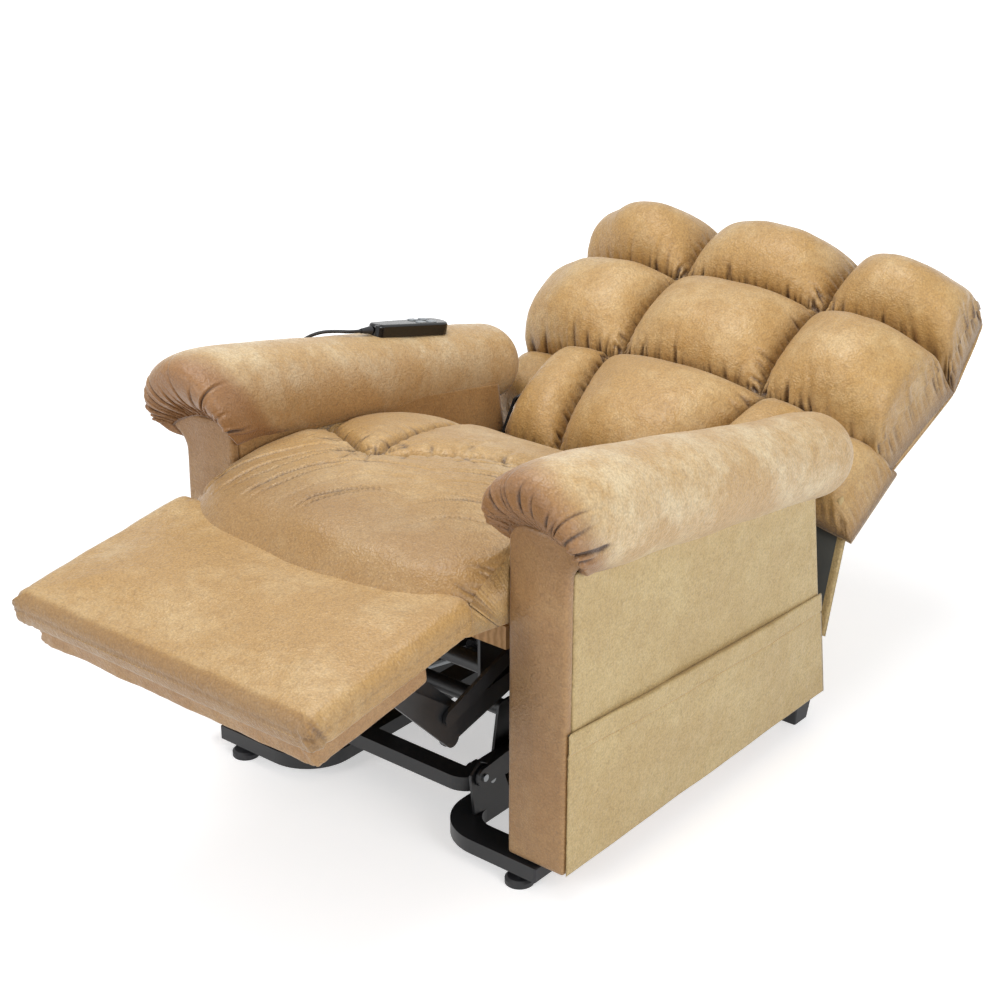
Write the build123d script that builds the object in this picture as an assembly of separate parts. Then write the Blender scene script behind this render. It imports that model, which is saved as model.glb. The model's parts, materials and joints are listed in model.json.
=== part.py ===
"""Power lift recliner, reclined flat with its footrest out and the lift down.

Millimetres, +Z up, the chair faces -Y and +X is the sitter's left. While it is
built, y = 0 is the front face of the arms; the last step moves the finished
chair so that its origin is on the floor under the middle of its overall box.
"""
from build123d import *
import os
from math import atan2, cos, degrees, hypot, radians, sin

# ---------------------------------------------------------------- driving sizes
seat_width = 560.0            # clear width between the arms
arm_width = 106.0             # front panel of an arm
arm_length = 741.0            # side panel, along its bottom edge
arm_rear_lean = 60.0          # how far the rear edge leans forward at the seam
panel_low = 51.0              # underside of the arms above the floor
front_panel_thick = 18.0
outer_panel_thick = 6.0
inner_panel_thick = 38.0
seam_front_height = 541.0     # roll seam on the side panel, at the front
seam_slope = radians(7.4)
pocket_mouth_front = 293.0
pocket_slope = radians(3.25)
pocket_depth = 8.0            # free depth of the side pocket
pocket_wall = 3.0

roll_overhang = 19.0          # roll centre stands this far outside the arm's middle
roll_front_radius = 91.0
roll_rear_radius = 59.0
roll_front = -84.0            # front of the bulb, along y
roll_nose = 70.0              # radius of the rounding round its nose
roll_rear = 770.0
roll_height = 626.0           # roll centre line where it crosses y = 0
roll_slope = radians(10.4)

recline_angle = 27.0          # back above the horizontal in the reclined pose
back_row_line = (856.0, 516.0)  # seam between the lumbar row and the middle row
row_length = 219.0            # middle row, along the back
top_row_length = 173.0
lumbar_length = 254.0
column_half = 151.0           # half width of the middle column of pillows
back_half = 418.0             # half width over the outer pillows
lumbar_side_gap = 6.0         # lumbar pillow inside the width of the back frame
pillow_crown = 80.0
pillow_seat = -60.0           # plane on which the pillows lie
pillow_corner = 56.0
lumbar_corner = 46.0
lumbar_edge = 44.0             # rounding of the lumbar pillow's top edges
pillow_edge = -4.0             # height of a pillow at its seams
pillow_ridge = 9.0             # the arch across a pillow is this much higher than the one along it
pillow_gap = 2.0
shell_low = -134.0            # lower end of the outer back, along the back
shell_top = 378.0
shell_rear = -144.0
shell_rear_top = -96.0
shell_half = 392.0
shell_wall = 8.0
back_side_gap = 18.0          # back frame to the inside of an arm
back_frame_low = -268.0       # lower end of its uprights
back_rail_low = -218.0        # its lowest cross rail stands clear of the recline rod
back_frame_rear = -100.0
back_rail = 44.0
recline_pivot = (720.0, 430.0)
skirt_drop = 188.0
skirt_lean = 15.0
skirt_half = 378.0
skirt_thick = 4.0

footrest_slope = 8.7          # pad falls towards its front
footrest_line = (-88.0, 503.0)  # rear top edge of the pad
pad_length = 341.0
pad_half = 298.0
pad_top = 22.0
pad_low = -31.0
board_front = 334.0
board_rear = 94.0
board_half = 288.0
board_low = -72.0

cushion_half = 276.0
cushion_corner = 15.0
cushion_front = -83.0
cushion_rear = 572.0
cushion_base_front = 440.0    # underside of the cushion at its nose
cushion_base_slope = 0.14
spring_wire = 6.0

plate_inner = 198.0           # inner face of the steel side plates
plate_thick = 5.0
link_thick = 6.0
layer_gap = 2.0               # between two links that lie side by side
pin_stub = 1.0                # a pin's end stands out of its link by this
link_width = 28.0
pin_radius = 6.0
running_gap = 0.1             # radial, pin in a link
open_gap = 2.8                # radial, at the pivot where each linkage is opened
lift_eye_gap = 9.4            # radial, at the rod eye of each actuator
recline_eye_gap = 7.8
foot_eye_gap = 6.6

# lift linkage, as (y, z)
lift_arm_low = (95.0, 94.0)
lift_link_low = (65.0, 114.0)
lift_arm_high = (520.0, 94.0)
lift_link_high = (480.0, 154.0)
lift_lever = (180.0, 167.0)
lift_anchor = (640.0, 78.0)
lift_half = 150.0             # half spacing of the lift arms
lift_tube_wide = 36.0
tube_high = 25.0
tube_wall = 2.0
lift_cross_y = 64.0
lift_bend = 24.0
lift_boss = 10.5              # radius round the lift pin, inside the bend of the frame

base_tube_wide = 50.0
base_low = 22.0
base_half = 335.0
base_front_y = 20.0
base_rear_y = 640.0
base_bend = 60.0
glide_half = 296.0
glide_front_y = 11.0
glide_radius = 23.0
glide_thick = 12.0
cap_thick = 4.0

# footrest linkage, as (y, z)
foot_pivot = (90.0, 294.0)
foot_knee = (-63.0, 258.0)
foot_ankle = (-188.0, 386.0)
control_pivot = (91.8, 358.9)
control_tip = (-74.7, 301.5)
guide_pivot = (-29.1, 277.9)
guide_tip = (-155.9, 400.0)
foot_lever_length = 60.0
foot_lever_turn = 240.0
torque_radius = 15.0

foot_anchor = (420.0, 320.0)
recline_anchor = (210.0, 262.0)
recline_lever = (-240.0, -124.0)   # on the back, as (along, out)
lift_lane = -75.0
recline_lane = 75.0
foot_lane = 0.0

handset_y = 490.0
handset_length = 190.0
handset_wide = 46.0
handset_thick = 22.0
button_travel = 1.5
cord_diameter = 6.0

# ------------------------------------------------------------------ worked sizes
arm_inner = seat_width / 2
back_frame_half = arm_inner - back_side_gap
lumbar_half = back_frame_half - lumbar_side_gap
arm_outer = arm_inner + arm_width
arm_middle = arm_inner + arm_width / 2
roll_x = arm_middle + roll_overhang
cos_roll, sin_roll = cos(roll_slope), sin(roll_slope)
plate_outer = plate_inner + plate_thick
layer = link_thick + layer_gap
guide_x = plate_outer + layer_gap + 1.0
rear_link_x = guide_x + layer
front_link_x = rear_link_x + layer
control_x = front_link_x + layer
base_top = base_low + tube_high

parts = {}
pivots = {}


def add(name, *solids):
    """Store one node: a single solid, or a group of separate ones."""
    found = [piece for solid in solids for piece in solid.solids()]
    parts[name] = found[0] if len(found) == 1 else Compound(found)


def yz_solid(outline, x_low, x_high):
    """A profile drawn in (y, z), extruded from x_low to x_high."""
    return extrude(Plane.YZ.offset(x_low) * outline, amount=x_high - x_low, dir=(1, 0, 0))


def both(solid):
    """The left piece and its mirror image on the right."""
    return [solid, mirror(solid, about=Plane.YZ)]


def bar_x(centre, radius, x_low, x_high):
    """A round bar along X through the point centre = (y, z)."""
    return yz_solid(Pos(*centre) * Circle(radius), x_low, x_high)


def link(p, q, width, x_low, holes):
    """A flat link with round ends from p to q, with holes as (point, radius)."""
    middle = Pos((p[0] + q[0]) / 2, (p[1] + q[1]) / 2)
    turn = degrees(atan2(q[1] - p[1], q[0] - p[0]))
    length = hypot(q[0] - p[0], q[1] - p[1])
    outline = middle * Rot(0, 0, turn) * SlotCenterToCenter(length, width)
    for point, radius in holes:
        outline -= Pos(*point) * Circle(radius)
    return yz_solid(outline, x_low, x_low + link_thick)


def cam_link(centres, width, x_low, holes):
    """A flat link whose outline wraps round discs at several centres."""
    discs = [Pos(*centre) * Circle(width / 2) for centre in centres]
    outline = make_hull([edge for disc in discs for edge in disc.edges()])
    for point, radius in holes:
        outline -= Pos(*point) * Circle(radius)
    return yz_solid(outline, x_low, x_low + link_thick)


def plate(points, corner, x_low, thick, holes=()):
    """A flat plate with rounded corners, drawn in (y, z)."""
    outline = Polygon(*points, align=None)
    outline = fillet(outline.vertices(), corner)
    for point, radius in holes:
        outline -= Pos(*point) * Circle(radius)
    return yz_solid(outline, x_low, x_low + thick)


def tube_along(path, width, height, wall):
    """A rectangular tube swept along a level path."""
    ahead = path % 0
    start = Plane(origin=path @ 0, x_dir=(-ahead.Y, ahead.X, 0), z_dir=ahead)
    profile = Rectangle(width, height) - Rectangle(width - 2 * wall, height - 2 * wall)
    return sweep(start * profile, path=path)


def cross_tube(centre, half, side, wall=2.0):
    """A square tube along X, closed at nothing, through (y, z)."""
    outline = Pos(*centre) * (Rectangle(side, side) - Rectangle(side - 2 * wall, side - 2 * wall))
    return yz_solid(outline, -half, half)


def lugs(outline, lane, gap, thick):
    """Two equal lugs, one each side of a lane along X."""
    return [
        yz_solid(outline, lane - gap / 2 - thick, lane - gap / 2),
        yz_solid(outline, lane + gap / 2, lane + gap / 2 + thick),
    ]


# ------------------------------------------------------------------------- base
def make_base():
    level = base_low + tube_high / 2
    route = FilletPolyline(
        (base_half, base_front_y, level),
        (lift_half, base_front_y, level),
        (lift_half, base_rear_y - base_tube_wide / 2, level),
        radius=base_bend,
    )
    add("base_side_tubes", *both(tube_along(route, base_tube_wide, tube_high, tube_wall)))

    rear = Line((base_half, base_rear_y, level), (-base_half, base_rear_y, level))
    add("base_rear_tube", tube_along(rear, base_tube_wide, tube_high, tube_wall))

    cap = Box(cap_thick, base_tube_wide, tube_high)
    cap = chamfer(cap.faces().sort_by(Axis.X)[-1].edges(), cap_thick / 3)
    caps = []
    for y in (base_front_y, base_rear_y):
        caps += both(Pos(base_half + cap_thick / 2, y, level) * cap)
    add("base_end_caps", *caps)

    foot = Cylinder(glide_radius, glide_thick, align=(Align.CENTER, Align.CENTER, Align.MIN))
    foot = chamfer(foot.faces().sort_by(Axis.Z)[-1].edges(), glide_thick / 3)
    stem = Pos(0, 0, glide_thick) * Cylinder(
        4, base_low - glide_thick, align=(Align.CENTER, Align.CENTER, Align.MIN))
    nut = Pos(0, 0, base_low - 5) * extrude(RegularPolygon(8, 6), amount=5)
    feet, stems = [], []
    for y in (glide_front_y, base_rear_y):
        feet += both(Pos(glide_half, y, 0) * foot)
        stems += both(Pos(glide_half, y, 0) * (stem + nut))
    add("glide_feet", *feet)
    add("glide_stems", *stems)

    # cheeks that carry both lift pivots, standing on the side tubes
    outer_face = lift_half + base_tube_wide / 2
    a_y, a_z = lift_arm_low
    b_y, b_z = lift_link_low
    outer = plate(
        [(b_y - 14, base_top), (a_y + 45, base_top), (a_y + 22, a_z + 14), (b_y, b_z + 24), (b_y - 24, b_z + 8)],
        6, outer_face - plate_thick, plate_thick, [(lift_arm_low, pin_radius)])
    # the inner cheek keeps behind the bend of the lift frame, which swings down past it
    leg = Polygon((a_y + pin_radius, base_top), (a_y + 45, base_top), (a_y + 18, a_z + lift_boss - 1),
                  (a_y + pin_radius, a_z + lift_boss - 1), align=None)
    cheek = leg + Pos(a_y, a_z) * Circle(lift_boss) - Pos(a_y, a_z) * Circle(pin_radius)
    inner = yz_solid(cheek, outer_face - base_tube_wide, outer_face - base_tube_wide + plate_thick)
    add("base_pivot_brackets", *both(outer), *both(inner))

    arm_pin = bar_x(lift_arm_low, pin_radius, outer_face - base_tube_wide - 3, outer_face + 1)
    link_pin = bar_x(lift_link_low, pin_radius, outer_face, outer_face + layer_gap + link_thick + 3)
    add("base_pivot_pins", *both(arm_pin), *both(link_pin))

    mount = Polygon(
        (base_rear_y - 24, base_top), (base_rear_y + 24, base_top),
        (lift_anchor[0] + 14, lift_anchor[1] + 14), (lift_anchor[0] - 14, lift_anchor[1] + 14), align=None)
    mount = fillet(mount.vertices(), 6) - Pos(*lift_anchor) * Circle(pin_radius)
    mount_lugs = lugs(mount, lift_lane, 28, 5)
    mount_pin = bar_x(lift_anchor, pin_radius, lift_lane - 22, lift_lane + 22)
    add("lift_motor_mount", *mount_lugs, mount_pin)


# --------------------------------------------------------------------- lift arms
def make_lift():
    level = lift_arm_low[1]
    rear = lift_arm_high[0] + 20
    route = FilletPolyline(
        (lift_half, rear, level), (lift_half, lift_cross_y, level),
        (-lift_half, lift_cross_y, level), (-lift_half, rear, level), radius=lift_bend)
    frame = tube_along(route, lift_tube_wide, tube_high, tube_wall)
    inner_face = lift_half - lift_tube_wide / 2
    outer_face = lift_half + lift_tube_wide / 2
    # a bush is welded through each arm at both pivots
    for centre in (lift_arm_low, lift_arm_high):
        for x in (-1, 1):
            bush = bar_x(centre, pin_radius + 4, inner_face, outer_face)
            frame += bush if x > 0 else mirror(bush, about=Plane.YZ)
    y, z = lift_lever
    cheek = Polygon((y - 34, level - 9), (y + 34, level - 9), (y + 17, z + 17), (y - 17, z + 17), align=None)
    cheek = fillet(cheek.vertices(), 8)
    for side in both(yz_solid(cheek, inner_face - 5, inner_face)):
        frame += side
    frame += bar_x(lift_lever, 14, -inner_face + 5, inner_face - 5)
    for centre in (lift_arm_low, lift_arm_high):
        for side in both(bar_x(centre, pin_radius + running_gap, 100, 200)):
            frame -= side
    # the rod eye runs on the turned-down middle of the lever tube
    eye_lane = bar_x(lift_lever, 30, lift_lane - 11, lift_lane + 11)
    frame -= eye_lane
    frame += bar_x(lift_lever, pin_radius, lift_lane - 11, lift_lane + 11)
    add("lift_frame_tube", frame)

    x_low = lift_half + base_tube_wide / 2 + layer_gap
    hole = pin_radius + running_gap
    bar = link(lift_link_low, lift_link_high, 32, x_low,
               [(lift_link_low, hole), (lift_link_high, pin_radius + open_gap)])
    add("lift_links", *both(bar))
    pivots["lift_arm_low"] = lift_arm_low
    pivots["lift_arm_high"] = lift_arm_high
    pivots["lift_link_low"] = lift_link_low


# --------------------------------------------------------------- seat and carriage
def rail_line(y):
    """Height of the top of the seat rails at y."""
    return cushion_base_front - cushion_base_slope * (y + 60.0) - spring_wire


def make_carriage():
    rail_high = 38.0
    low_front = foot_pivot[1] - 26
    c_y, c_z = lift_arm_high
    d_y, d_z = lift_link_high

    def top(y):
        """Underside of the seat rails at y."""
        return rail_line(y) - rail_high

    outline = [
        (30, top(30)), (70, top(70)), (72, control_pivot[1] + 14), (112, control_pivot[1] + 14),
        (114, top(114)), (600, top(600)), (604, top(604) - 40), (c_y + 42, 190),
        (c_y + 24, c_z - 16), (c_y - 22, c_z - 16), (d_y - 24, d_z - 4), (d_y - 42, 230),
        (400, 262), (160, low_front), (42, low_front), (30, low_front + 14),
    ]
    holes = [(foot_pivot, torque_radius + running_gap)]
    side = plate(outline, 4, plate_inner, plate_thick, holes)
    for y in (200, 280, 360, 500):
        slot = Pos(y, (top(y) + 268) / 2) * SlotCenterToCenter(26, 18)
        side -= yz_solid(slot, plate_inner - 1, plate_outer + 1)
    add("carriage_plates", *both(side))

    half = plate_inner
    front = cross_tube((recline_anchor[0] - 10, recline_anchor[1] + 48), half, 25)
    rear = cross_tube((foot_anchor[0] + 20, foot_anchor[1] + 24), half, 25)
    for anchor, lane, tube_y, tube_z in (
            (recline_anchor, recline_lane, recline_anchor[0] - 10, recline_anchor[1] + 48),
            (foot_anchor, foot_lane, foot_anchor[0] + 20, foot_anchor[1] + 24)):
        ear = Polygon(
            (tube_y - 12.5, tube_z - 8), (anchor[0] - 12, anchor[1] - 12),
            (anchor[0] + 12, anchor[1] - 12), (tube_y + 12.5, tube_z - 8), align=None)
        ear = fillet(ear.vertices(), 4)
        pieces = lugs(ear, lane, 28, 5) + [bar_x(anchor, pin_radius, lane - 22, lane + 22)]
        for piece in pieces:
            if lane == recline_lane:
                front += piece
            else:
                rear += piece
    add("carriage_tubes", front, rear)

    pins = []
    link_low = lift_half + base_tube_wide / 2 + layer_gap
    arm_low = lift_half - lift_tube_wide / 2 - 3
    pins += both(bar_x(lift_arm_high, pin_radius, arm_low, plate_inner))
    pins += both(bar_x(lift_link_high, pin_radius, link_low - 1, plate_inner))
    pins += both(bar_x(control_pivot, pin_radius, plate_outer, control_x + link_thick + 3))
    add("carriage_pins", *pins)

    # hardwood seat frame: side rails, front and rear rails and two slats
    rails = []
    rail_inner, rail_outer = 242.0, 264.0
    rear_y = cushion_rear - 12
    front_y = 15.0
    side = Polygon(
        (front_y + 22, rail_line(front_y + 22)), (rear_y - 22, rail_line(rear_y - 22)),
        (rear_y - 22, rail_line(rear_y - 22) - rail_high), (front_y + 22, rail_line(front_y + 22) - rail_high),
        align=None)
    rails += both(yz_solid(side, rail_inner, rail_outer))
    for y_low, y_high, half, thick in (
            (front_y, front_y + 22, rail_outer, rail_high), (rear_y - 22, rear_y, rail_outer, rail_high),
            (150, 205, rail_inner, 20), (465, 520, rail_inner, 20)):
        cross = Polygon(
            (y_low, top(y_low)), (y_high, top(y_high)),
            (y_high, top(y_high) + thick), (y_low, top(y_low) + thick), align=None)
        rails.append(yz_solid(cross, -half, half))
    add("seat_rails", *rails)

    # zigzag springs, flat on the front and rear rails
    pitch, reach, count = 42.0, 20.0, 12
    run = Plane(origin=(0, front_y + 6, rail_line(front_y + 6)),
                x_dir=(0, 1, -cushion_base_slope), z_dir=(0, cushion_base_slope, 1))
    springs = []
    for x in (-200, -100, 0, 100, 200):
        points = [(0, -x)]
        for turn in range(count):
            side_step = reach if turn % 2 else -reach
            points += [(pitch * (turn + 0.5), -x + side_step), (pitch * (turn + 1) - 4, -x + side_step)]
        points.append((pitch * count + 14, -x))
        path = Polyline(*points)
        ribbon = trace(path, spring_wire * 0.7)
        springs.append(extrude(run * ribbon, amount=spring_wire * 0.7))
    add("seat_springs", *springs)

    # seat cushion: chaise nose at the front, falling to the rear
    lift_off = spring_wire + 8
    crest = [(cushion_front, rail_line(cushion_front) + lift_off), (cushion_front, 485), (-40, 528), (60, 555),
             (210, 548), (350, 520), (480, 466), (cushion_rear, 408),
             (cushion_rear, rail_line(cushion_rear) + lift_off)]
    outline = fillet(Polygon(*crest, align=None).vertices(), cushion_corner)
    add("seat_cushion", yz_solid(outline, -cushion_half, cushion_half))


# -------------------------------------------------------------------------- arms
def seam(y):
    return seam_front_height - y * sin(seam_slope) / cos(seam_slope)


def arm_rear(z):
    """Rear edge of an arm at height z."""
    top = seam(arm_length - arm_rear_lean)
    return arm_length - arm_rear_lean * (z - panel_low) / (top - panel_low)


def roll_axis(y):
    """Height of the roll's centre line at y."""
    return roll_height - y * sin_roll / cos_roll


def make_roll():
    length = (roll_rear - roll_front) / cos_roll
    across = Plane(origin=(roll_x, roll_front, roll_axis(roll_front)),
                   x_dir=(0, cos_roll, -sin_roll), z_dir=(1, 0, 0))
    flat = Line((0, 0), (0, roll_front_radius - roll_nose))
    front = CenterArc((roll_nose, roll_front_radius - roll_nose), roll_nose, 180, -90)
    top = Line(front @ 1, (length - roll_rear_radius, roll_rear_radius))
    rear = CenterArc((length - roll_rear_radius, 0), roll_rear_radius, 0, 90)
    face = make_face([flat, front, top, rear, Line((length, 0), (0, 0))]).face()
    face = face if face.normal_at().Z > 0 else -face
    axis = Axis((roll_x, roll_front, roll_axis(roll_front)), (0, cos_roll, -sin_roll))
    return revolve(across * face, axis=axis)


def front_panel_outline():
    inner, outer = arm_inner, arm_outer
    side = Line((inner, panel_low), (inner, 588))
    arch = Spline((inner, 588), (inner + 56, 605), (outer + 30, 576), tangents=[(0.5, 1), (0.6, -1)])
    flare = Spline((outer + 30, 576), (outer + 8, 556), (outer, 528), tangents=[(-0.6, -1), (0, -1)])
    outside = Line((outer, 528), (outer, panel_low))
    return make_face([side, arch, flare, outside, Line((outer, panel_low), (inner, panel_low))])


def make_arms():
    roll = make_roll()
    facing = front_panel_outline()
    front = extrude(Plane.XZ * facing, amount=front_panel_thick, dir=(0, 1, 0))
    clear = extrude(Plane.XZ.offset(200) * facing, amount=200 + front_panel_thick, dir=(0, 1, 0))
    roll -= clear
    front_y = front_panel_thick
    top_y = arm_rear(panel_low)

    def side_shape(inset, low, high_offset, rear_inset):
        points = [
            (front_y + inset, low), (arm_rear(low) - rear_inset, low),
            (arm_rear(seam(arm_length)) - rear_inset, seam(arm_length) + high_offset),
            (front_y + inset, seam(front_y) + high_offset)]
        return Polygon(*points, align=None)

    outer = yz_solid(side_shape(0, panel_low, 30, 0), arm_outer - outer_panel_thick, arm_outer) - roll
    inner = yz_solid(side_shape(0, 300, 60, 4), arm_inner, arm_inner + inner_panel_thick) - roll
    frame_low = panel_low + 5
    frame = side_shape(0, frame_low, 20, 4)
    window = Polygon(
        (front_y + 50, frame_low + 60), (arm_length - 75, frame_low + 60),
        (arm_length - arm_rear_lean - 60, seam(arm_length) - 60), (front_y + 50, seam(front_y) - 90), align=None)
    frame = yz_solid(frame - fillet(window.vertices(), 10), arm_inner + inner_panel_thick,
                     arm_outer - outer_panel_thick) - roll

    # pocket: a second layer over the lower side, open at its slanting mouth
    def mouth(y):
        return pocket_mouth_front - y * sin(pocket_slope) / cos(pocket_slope)
    rear_low, rear_high = arm_rear(panel_low), arm_rear(mouth(arm_length))
    pocket = Polygon((4, panel_low), (rear_low, panel_low), (rear_high, mouth(rear_high)), (4, mouth(4)), align=None)
    hollow = Polygon(
        (4 + pocket_wall, panel_low + 12), (rear_low - pocket_wall - 1, panel_low + 12),
        (rear_high - pocket_wall, mouth(rear_high) + 1), (4 + pocket_wall, mouth(4) + 1), align=None)
    skin = arm_outer + pocket_depth + pocket_wall
    pocket = yz_solid(pocket, arm_outer, skin) - yz_solid(hollow, arm_outer, arm_outer + pocket_depth)

    pieces = {"arm_roll": roll, "front_panel": front, "outer_panel": outer}
    for name, solid in pieces.items():
        left, right = both(solid)
        add("left_" + name, left)
        add("right_" + name, right)
    add("arm_inner_panels", *both(inner))
    add("arm_frames", *both(frame))
    add("side_pockets", *both(pocket))

    leg_x, leg_y = arm_outer - 32, top_y - 38
    low = Plane.XY * Pos(leg_x, leg_y) * RectangleRounded(32, 40, 3)
    high = Plane.XY.offset(frame_low) * Pos(leg_x, leg_y) * RectangleRounded(44, 52, 3)
    add("rear_legs", *both(loft([low, high])))

    # posts that carry the back, on the inner faces of the arms
    y, z = recline_pivot
    post = plate([(y - 110, z - 130), (y - 60, z - 140), (y + 20, z - 14), (y + 16, z + 18), (y - 18, z + 16)],
                 8, arm_inner - 10, plate_thick)
    pin = bar_x(recline_pivot, pin_radius + 2, back_frame_half - 4, arm_inner - 10)
    block = bar_x((y - 84, z - 112), 12, arm_inner - 10 + plate_thick, arm_inner)
    add("back_hinge_posts", *both(post + pin + block))
    pivots["recline"] = recline_pivot


# -------------------------------------------------------------------------- back
lean = radians(recline_angle)
back_plane = Plane(origin=(0, *back_row_line), x_dir=(1, 0, 0), z_dir=(0, -sin(lean), cos(lean)))
back_side = Plane(origin=(0, *back_row_line), x_dir=(0, cos(lean), sin(lean)), z_dir=(1, 0, 0))


def back_point(along, out):
    """(y, z) of a point on the back, from its place along and out of it."""
    y, z = back_row_line
    return (y + along * cos(lean) - out * sin(lean), z + along * sin(lean) + out * cos(lean))


def back_local(point):
    """Place along and out of the back of a point given as (y, z)."""
    y, z = point[0] - back_row_line[0], point[1] - back_row_line[1]
    return (y * cos(lean) + z * sin(lean), -y * sin(lean) + z * cos(lean))


def back_solid(outline, x_low, x_high):
    """A profile drawn in (along, out), extruded across the back."""
    return extrude(back_side.offset(x_low) * outline, amount=x_high - x_low, dir=(1, 0, 0))


def arch(low, high, edge, crown):
    """Flat-bottomed profile with an arched top, drawn as (across, out)."""
    base = Polyline((low, edge), (low, pillow_seat), (high, pillow_seat), (high, edge))
    top = ThreePointArc((high, edge), ((low + high) / 2, crown), (low, edge))
    return make_face(base.edges() + top.edges())


def pillow(x_low, x_high, low, high, crown):
    """A pillow crowned along and across: the common part of two arches."""
    shape = RectangleRounded(x_high - x_low, high - low, pillow_corner)
    place = back_plane.location * Pos((x_low + x_high) / 2, (low + high) / 2, pillow_seat)
    body = place * extrude(shape, amount=crown - pillow_seat + 2 * pillow_ridge)
    body &= back_solid(arch(low, high, pillow_edge, crown), x_low - 1, x_high + 1)
    across = Plane(origin=(0, *back_point(low - 1, 0)), x_dir=(1, 0, 0),
                   z_dir=(0, -cos(lean), -sin(lean)))
    body &= extrude(across * arch(x_low, x_high, pillow_edge, crown + pillow_ridge), amount=high - low + 2,
                    dir=(0, cos(lean), sin(lean)))
    return body


def rolled_pillow(x_low, x_high, low, high, crown):
    """A pillow with a level top and well rounded edges."""
    body = extrude(RectangleRounded(x_high - x_low, high - low, lumbar_corner), amount=crown - pillow_seat)
    body = fillet(body.faces().sort_by(Axis.Z)[-1].edges(), lumbar_edge)
    return back_plane.location * Pos((x_low + x_high) / 2, (low + high) / 2, pillow_seat) * body


def make_back():
    gap = pillow_gap / 2
    rows = {"middle": (gap, row_length - gap), "top": (row_length + gap, row_length + top_row_length)}
    for row, (low, high) in rows.items():
        add(row + "_pillow_centre", pillow(-column_half + gap, column_half - gap, low, high, pillow_crown))
        outer = pillow(column_half + gap, back_half, low, high, pillow_crown - 10)
        add(row + "_pillow_left", outer)
        add(row + "_pillow_right", mirror(outer, about=Plane.YZ))
    add("lumbar_pillow", rolled_pillow(-lumbar_half, lumbar_half, -lumbar_length, -gap, pillow_crown - 6))

    edge = [(shell_low, pillow_seat), (shell_low, shell_rear), (shell_top - 128, shell_rear),
            (shell_top - 8, shell_rear_top), (shell_top, pillow_seat)]
    outside = Polygon(*edge, align=None)
    outside = fillet(outside.vertices().sort_by(Axis.Y)[:2], 10)
    inside = offset(outside, -shell_wall, kind=Kind.INTERSECTION)
    inside += Pos(0, shell_wall) * inside
    shell = back_solid(outside, -shell_half, shell_half)
    shell -= back_solid(inside, -shell_half + shell_wall, shell_half - shell_wall)
    # relief for the lower end of the frame, which runs down between the arms
    relief = Pos(shell_low, (pillow_seat + back_frame_rear) / 2 - 1) * Rectangle(90, pillow_seat - back_frame_rear + 6)
    relief_half = back_frame_half + plate_thick + 3
    shell -= back_solid(relief, -relief_half, relief_half)
    add("back_shell", shell)

    # hardwood frame: two uprights and four cross rails
    low, high = back_frame_low, shell_top - 60
    upright = Pos((low + high) / 2, (pillow_seat + back_frame_rear) / 2) * Rectangle(
        high - low, pillow_seat - back_frame_rear)
    frame = [back_solid(upright, back_frame_half - back_rail, back_frame_half)]
    frame.append(mirror(frame[0], about=Plane.YZ))
    for start in (back_rail_low, -40.0, row_length - back_rail, high - back_rail):
        rail = Pos(start + back_rail / 2, (pillow_seat + back_frame_rear) / 2) * Rectangle(
            back_rail, pillow_seat - back_frame_rear)
        inner = back_frame_half - back_rail
        frame.append(back_solid(rail, -inner, inner))
    add("back_frame", *frame)

    # hinge brackets, outside the uprights, and the clevis for the recline rod
    along, out = back_local(recline_pivot)
    ear = Polygon((along - 70, back_frame_rear), (along + 70, back_frame_rear), (along + 62, pillow_seat - 4),
                  (along + 20, out + 18), (along - 20, out + 18), (along - 62, pillow_seat - 4), align=None)
    ear = fillet(ear.vertices(), 8) - Pos(along, out) * Circle(pin_radius + 2 + running_gap)
    bracket = back_solid(ear, back_frame_half, back_frame_half + plate_thick)
    l_along, l_out = recline_lever
    clevis = Polygon((l_along - 13, l_out - 13), (l_along + 15, l_out - 13),
                     (back_rail_low + back_rail, back_frame_rear), (back_rail_low, back_frame_rear),
                     (l_along - 13, l_out + 12), align=None)
    clevis = fillet(clevis.vertices(), 4)
    pieces = [back_solid(clevis, recline_lane - 19, recline_lane - 14),
              back_solid(clevis, recline_lane + 14, recline_lane + 19)]
    lever_pin = bar_x(back_point(*recline_lever), pin_radius, recline_lane - 14, recline_lane + 14)
    add("back_brackets", *both(bracket), pieces[0] + lever_pin + pieces[1])

    # outer back skirt, hanging from the lower edge of the shell
    top = back_point(shell_low, shell_rear + 4)
    hinge = (top[0], top[1] - 3)
    turn = radians(270 - skirt_lean)
    end = (hinge[0] + skirt_drop * cos(turn), hinge[1] + skirt_drop * sin(turn))
    start = (hinge[0] + 4 * cos(turn), hinge[1] + 4 * sin(turn))
    middle = Pos((start[0] + end[0]) / 2, (start[1] + end[1]) / 2) * Rot(0, 0, degrees(turn))
    cloth = middle * RectangleRounded(skirt_drop - 4, skirt_thick, skirt_thick / 2.1)
    add("back_skirt", yz_solid(cloth, -skirt_half, skirt_half))
    pivots["skirt"] = hinge


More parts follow.
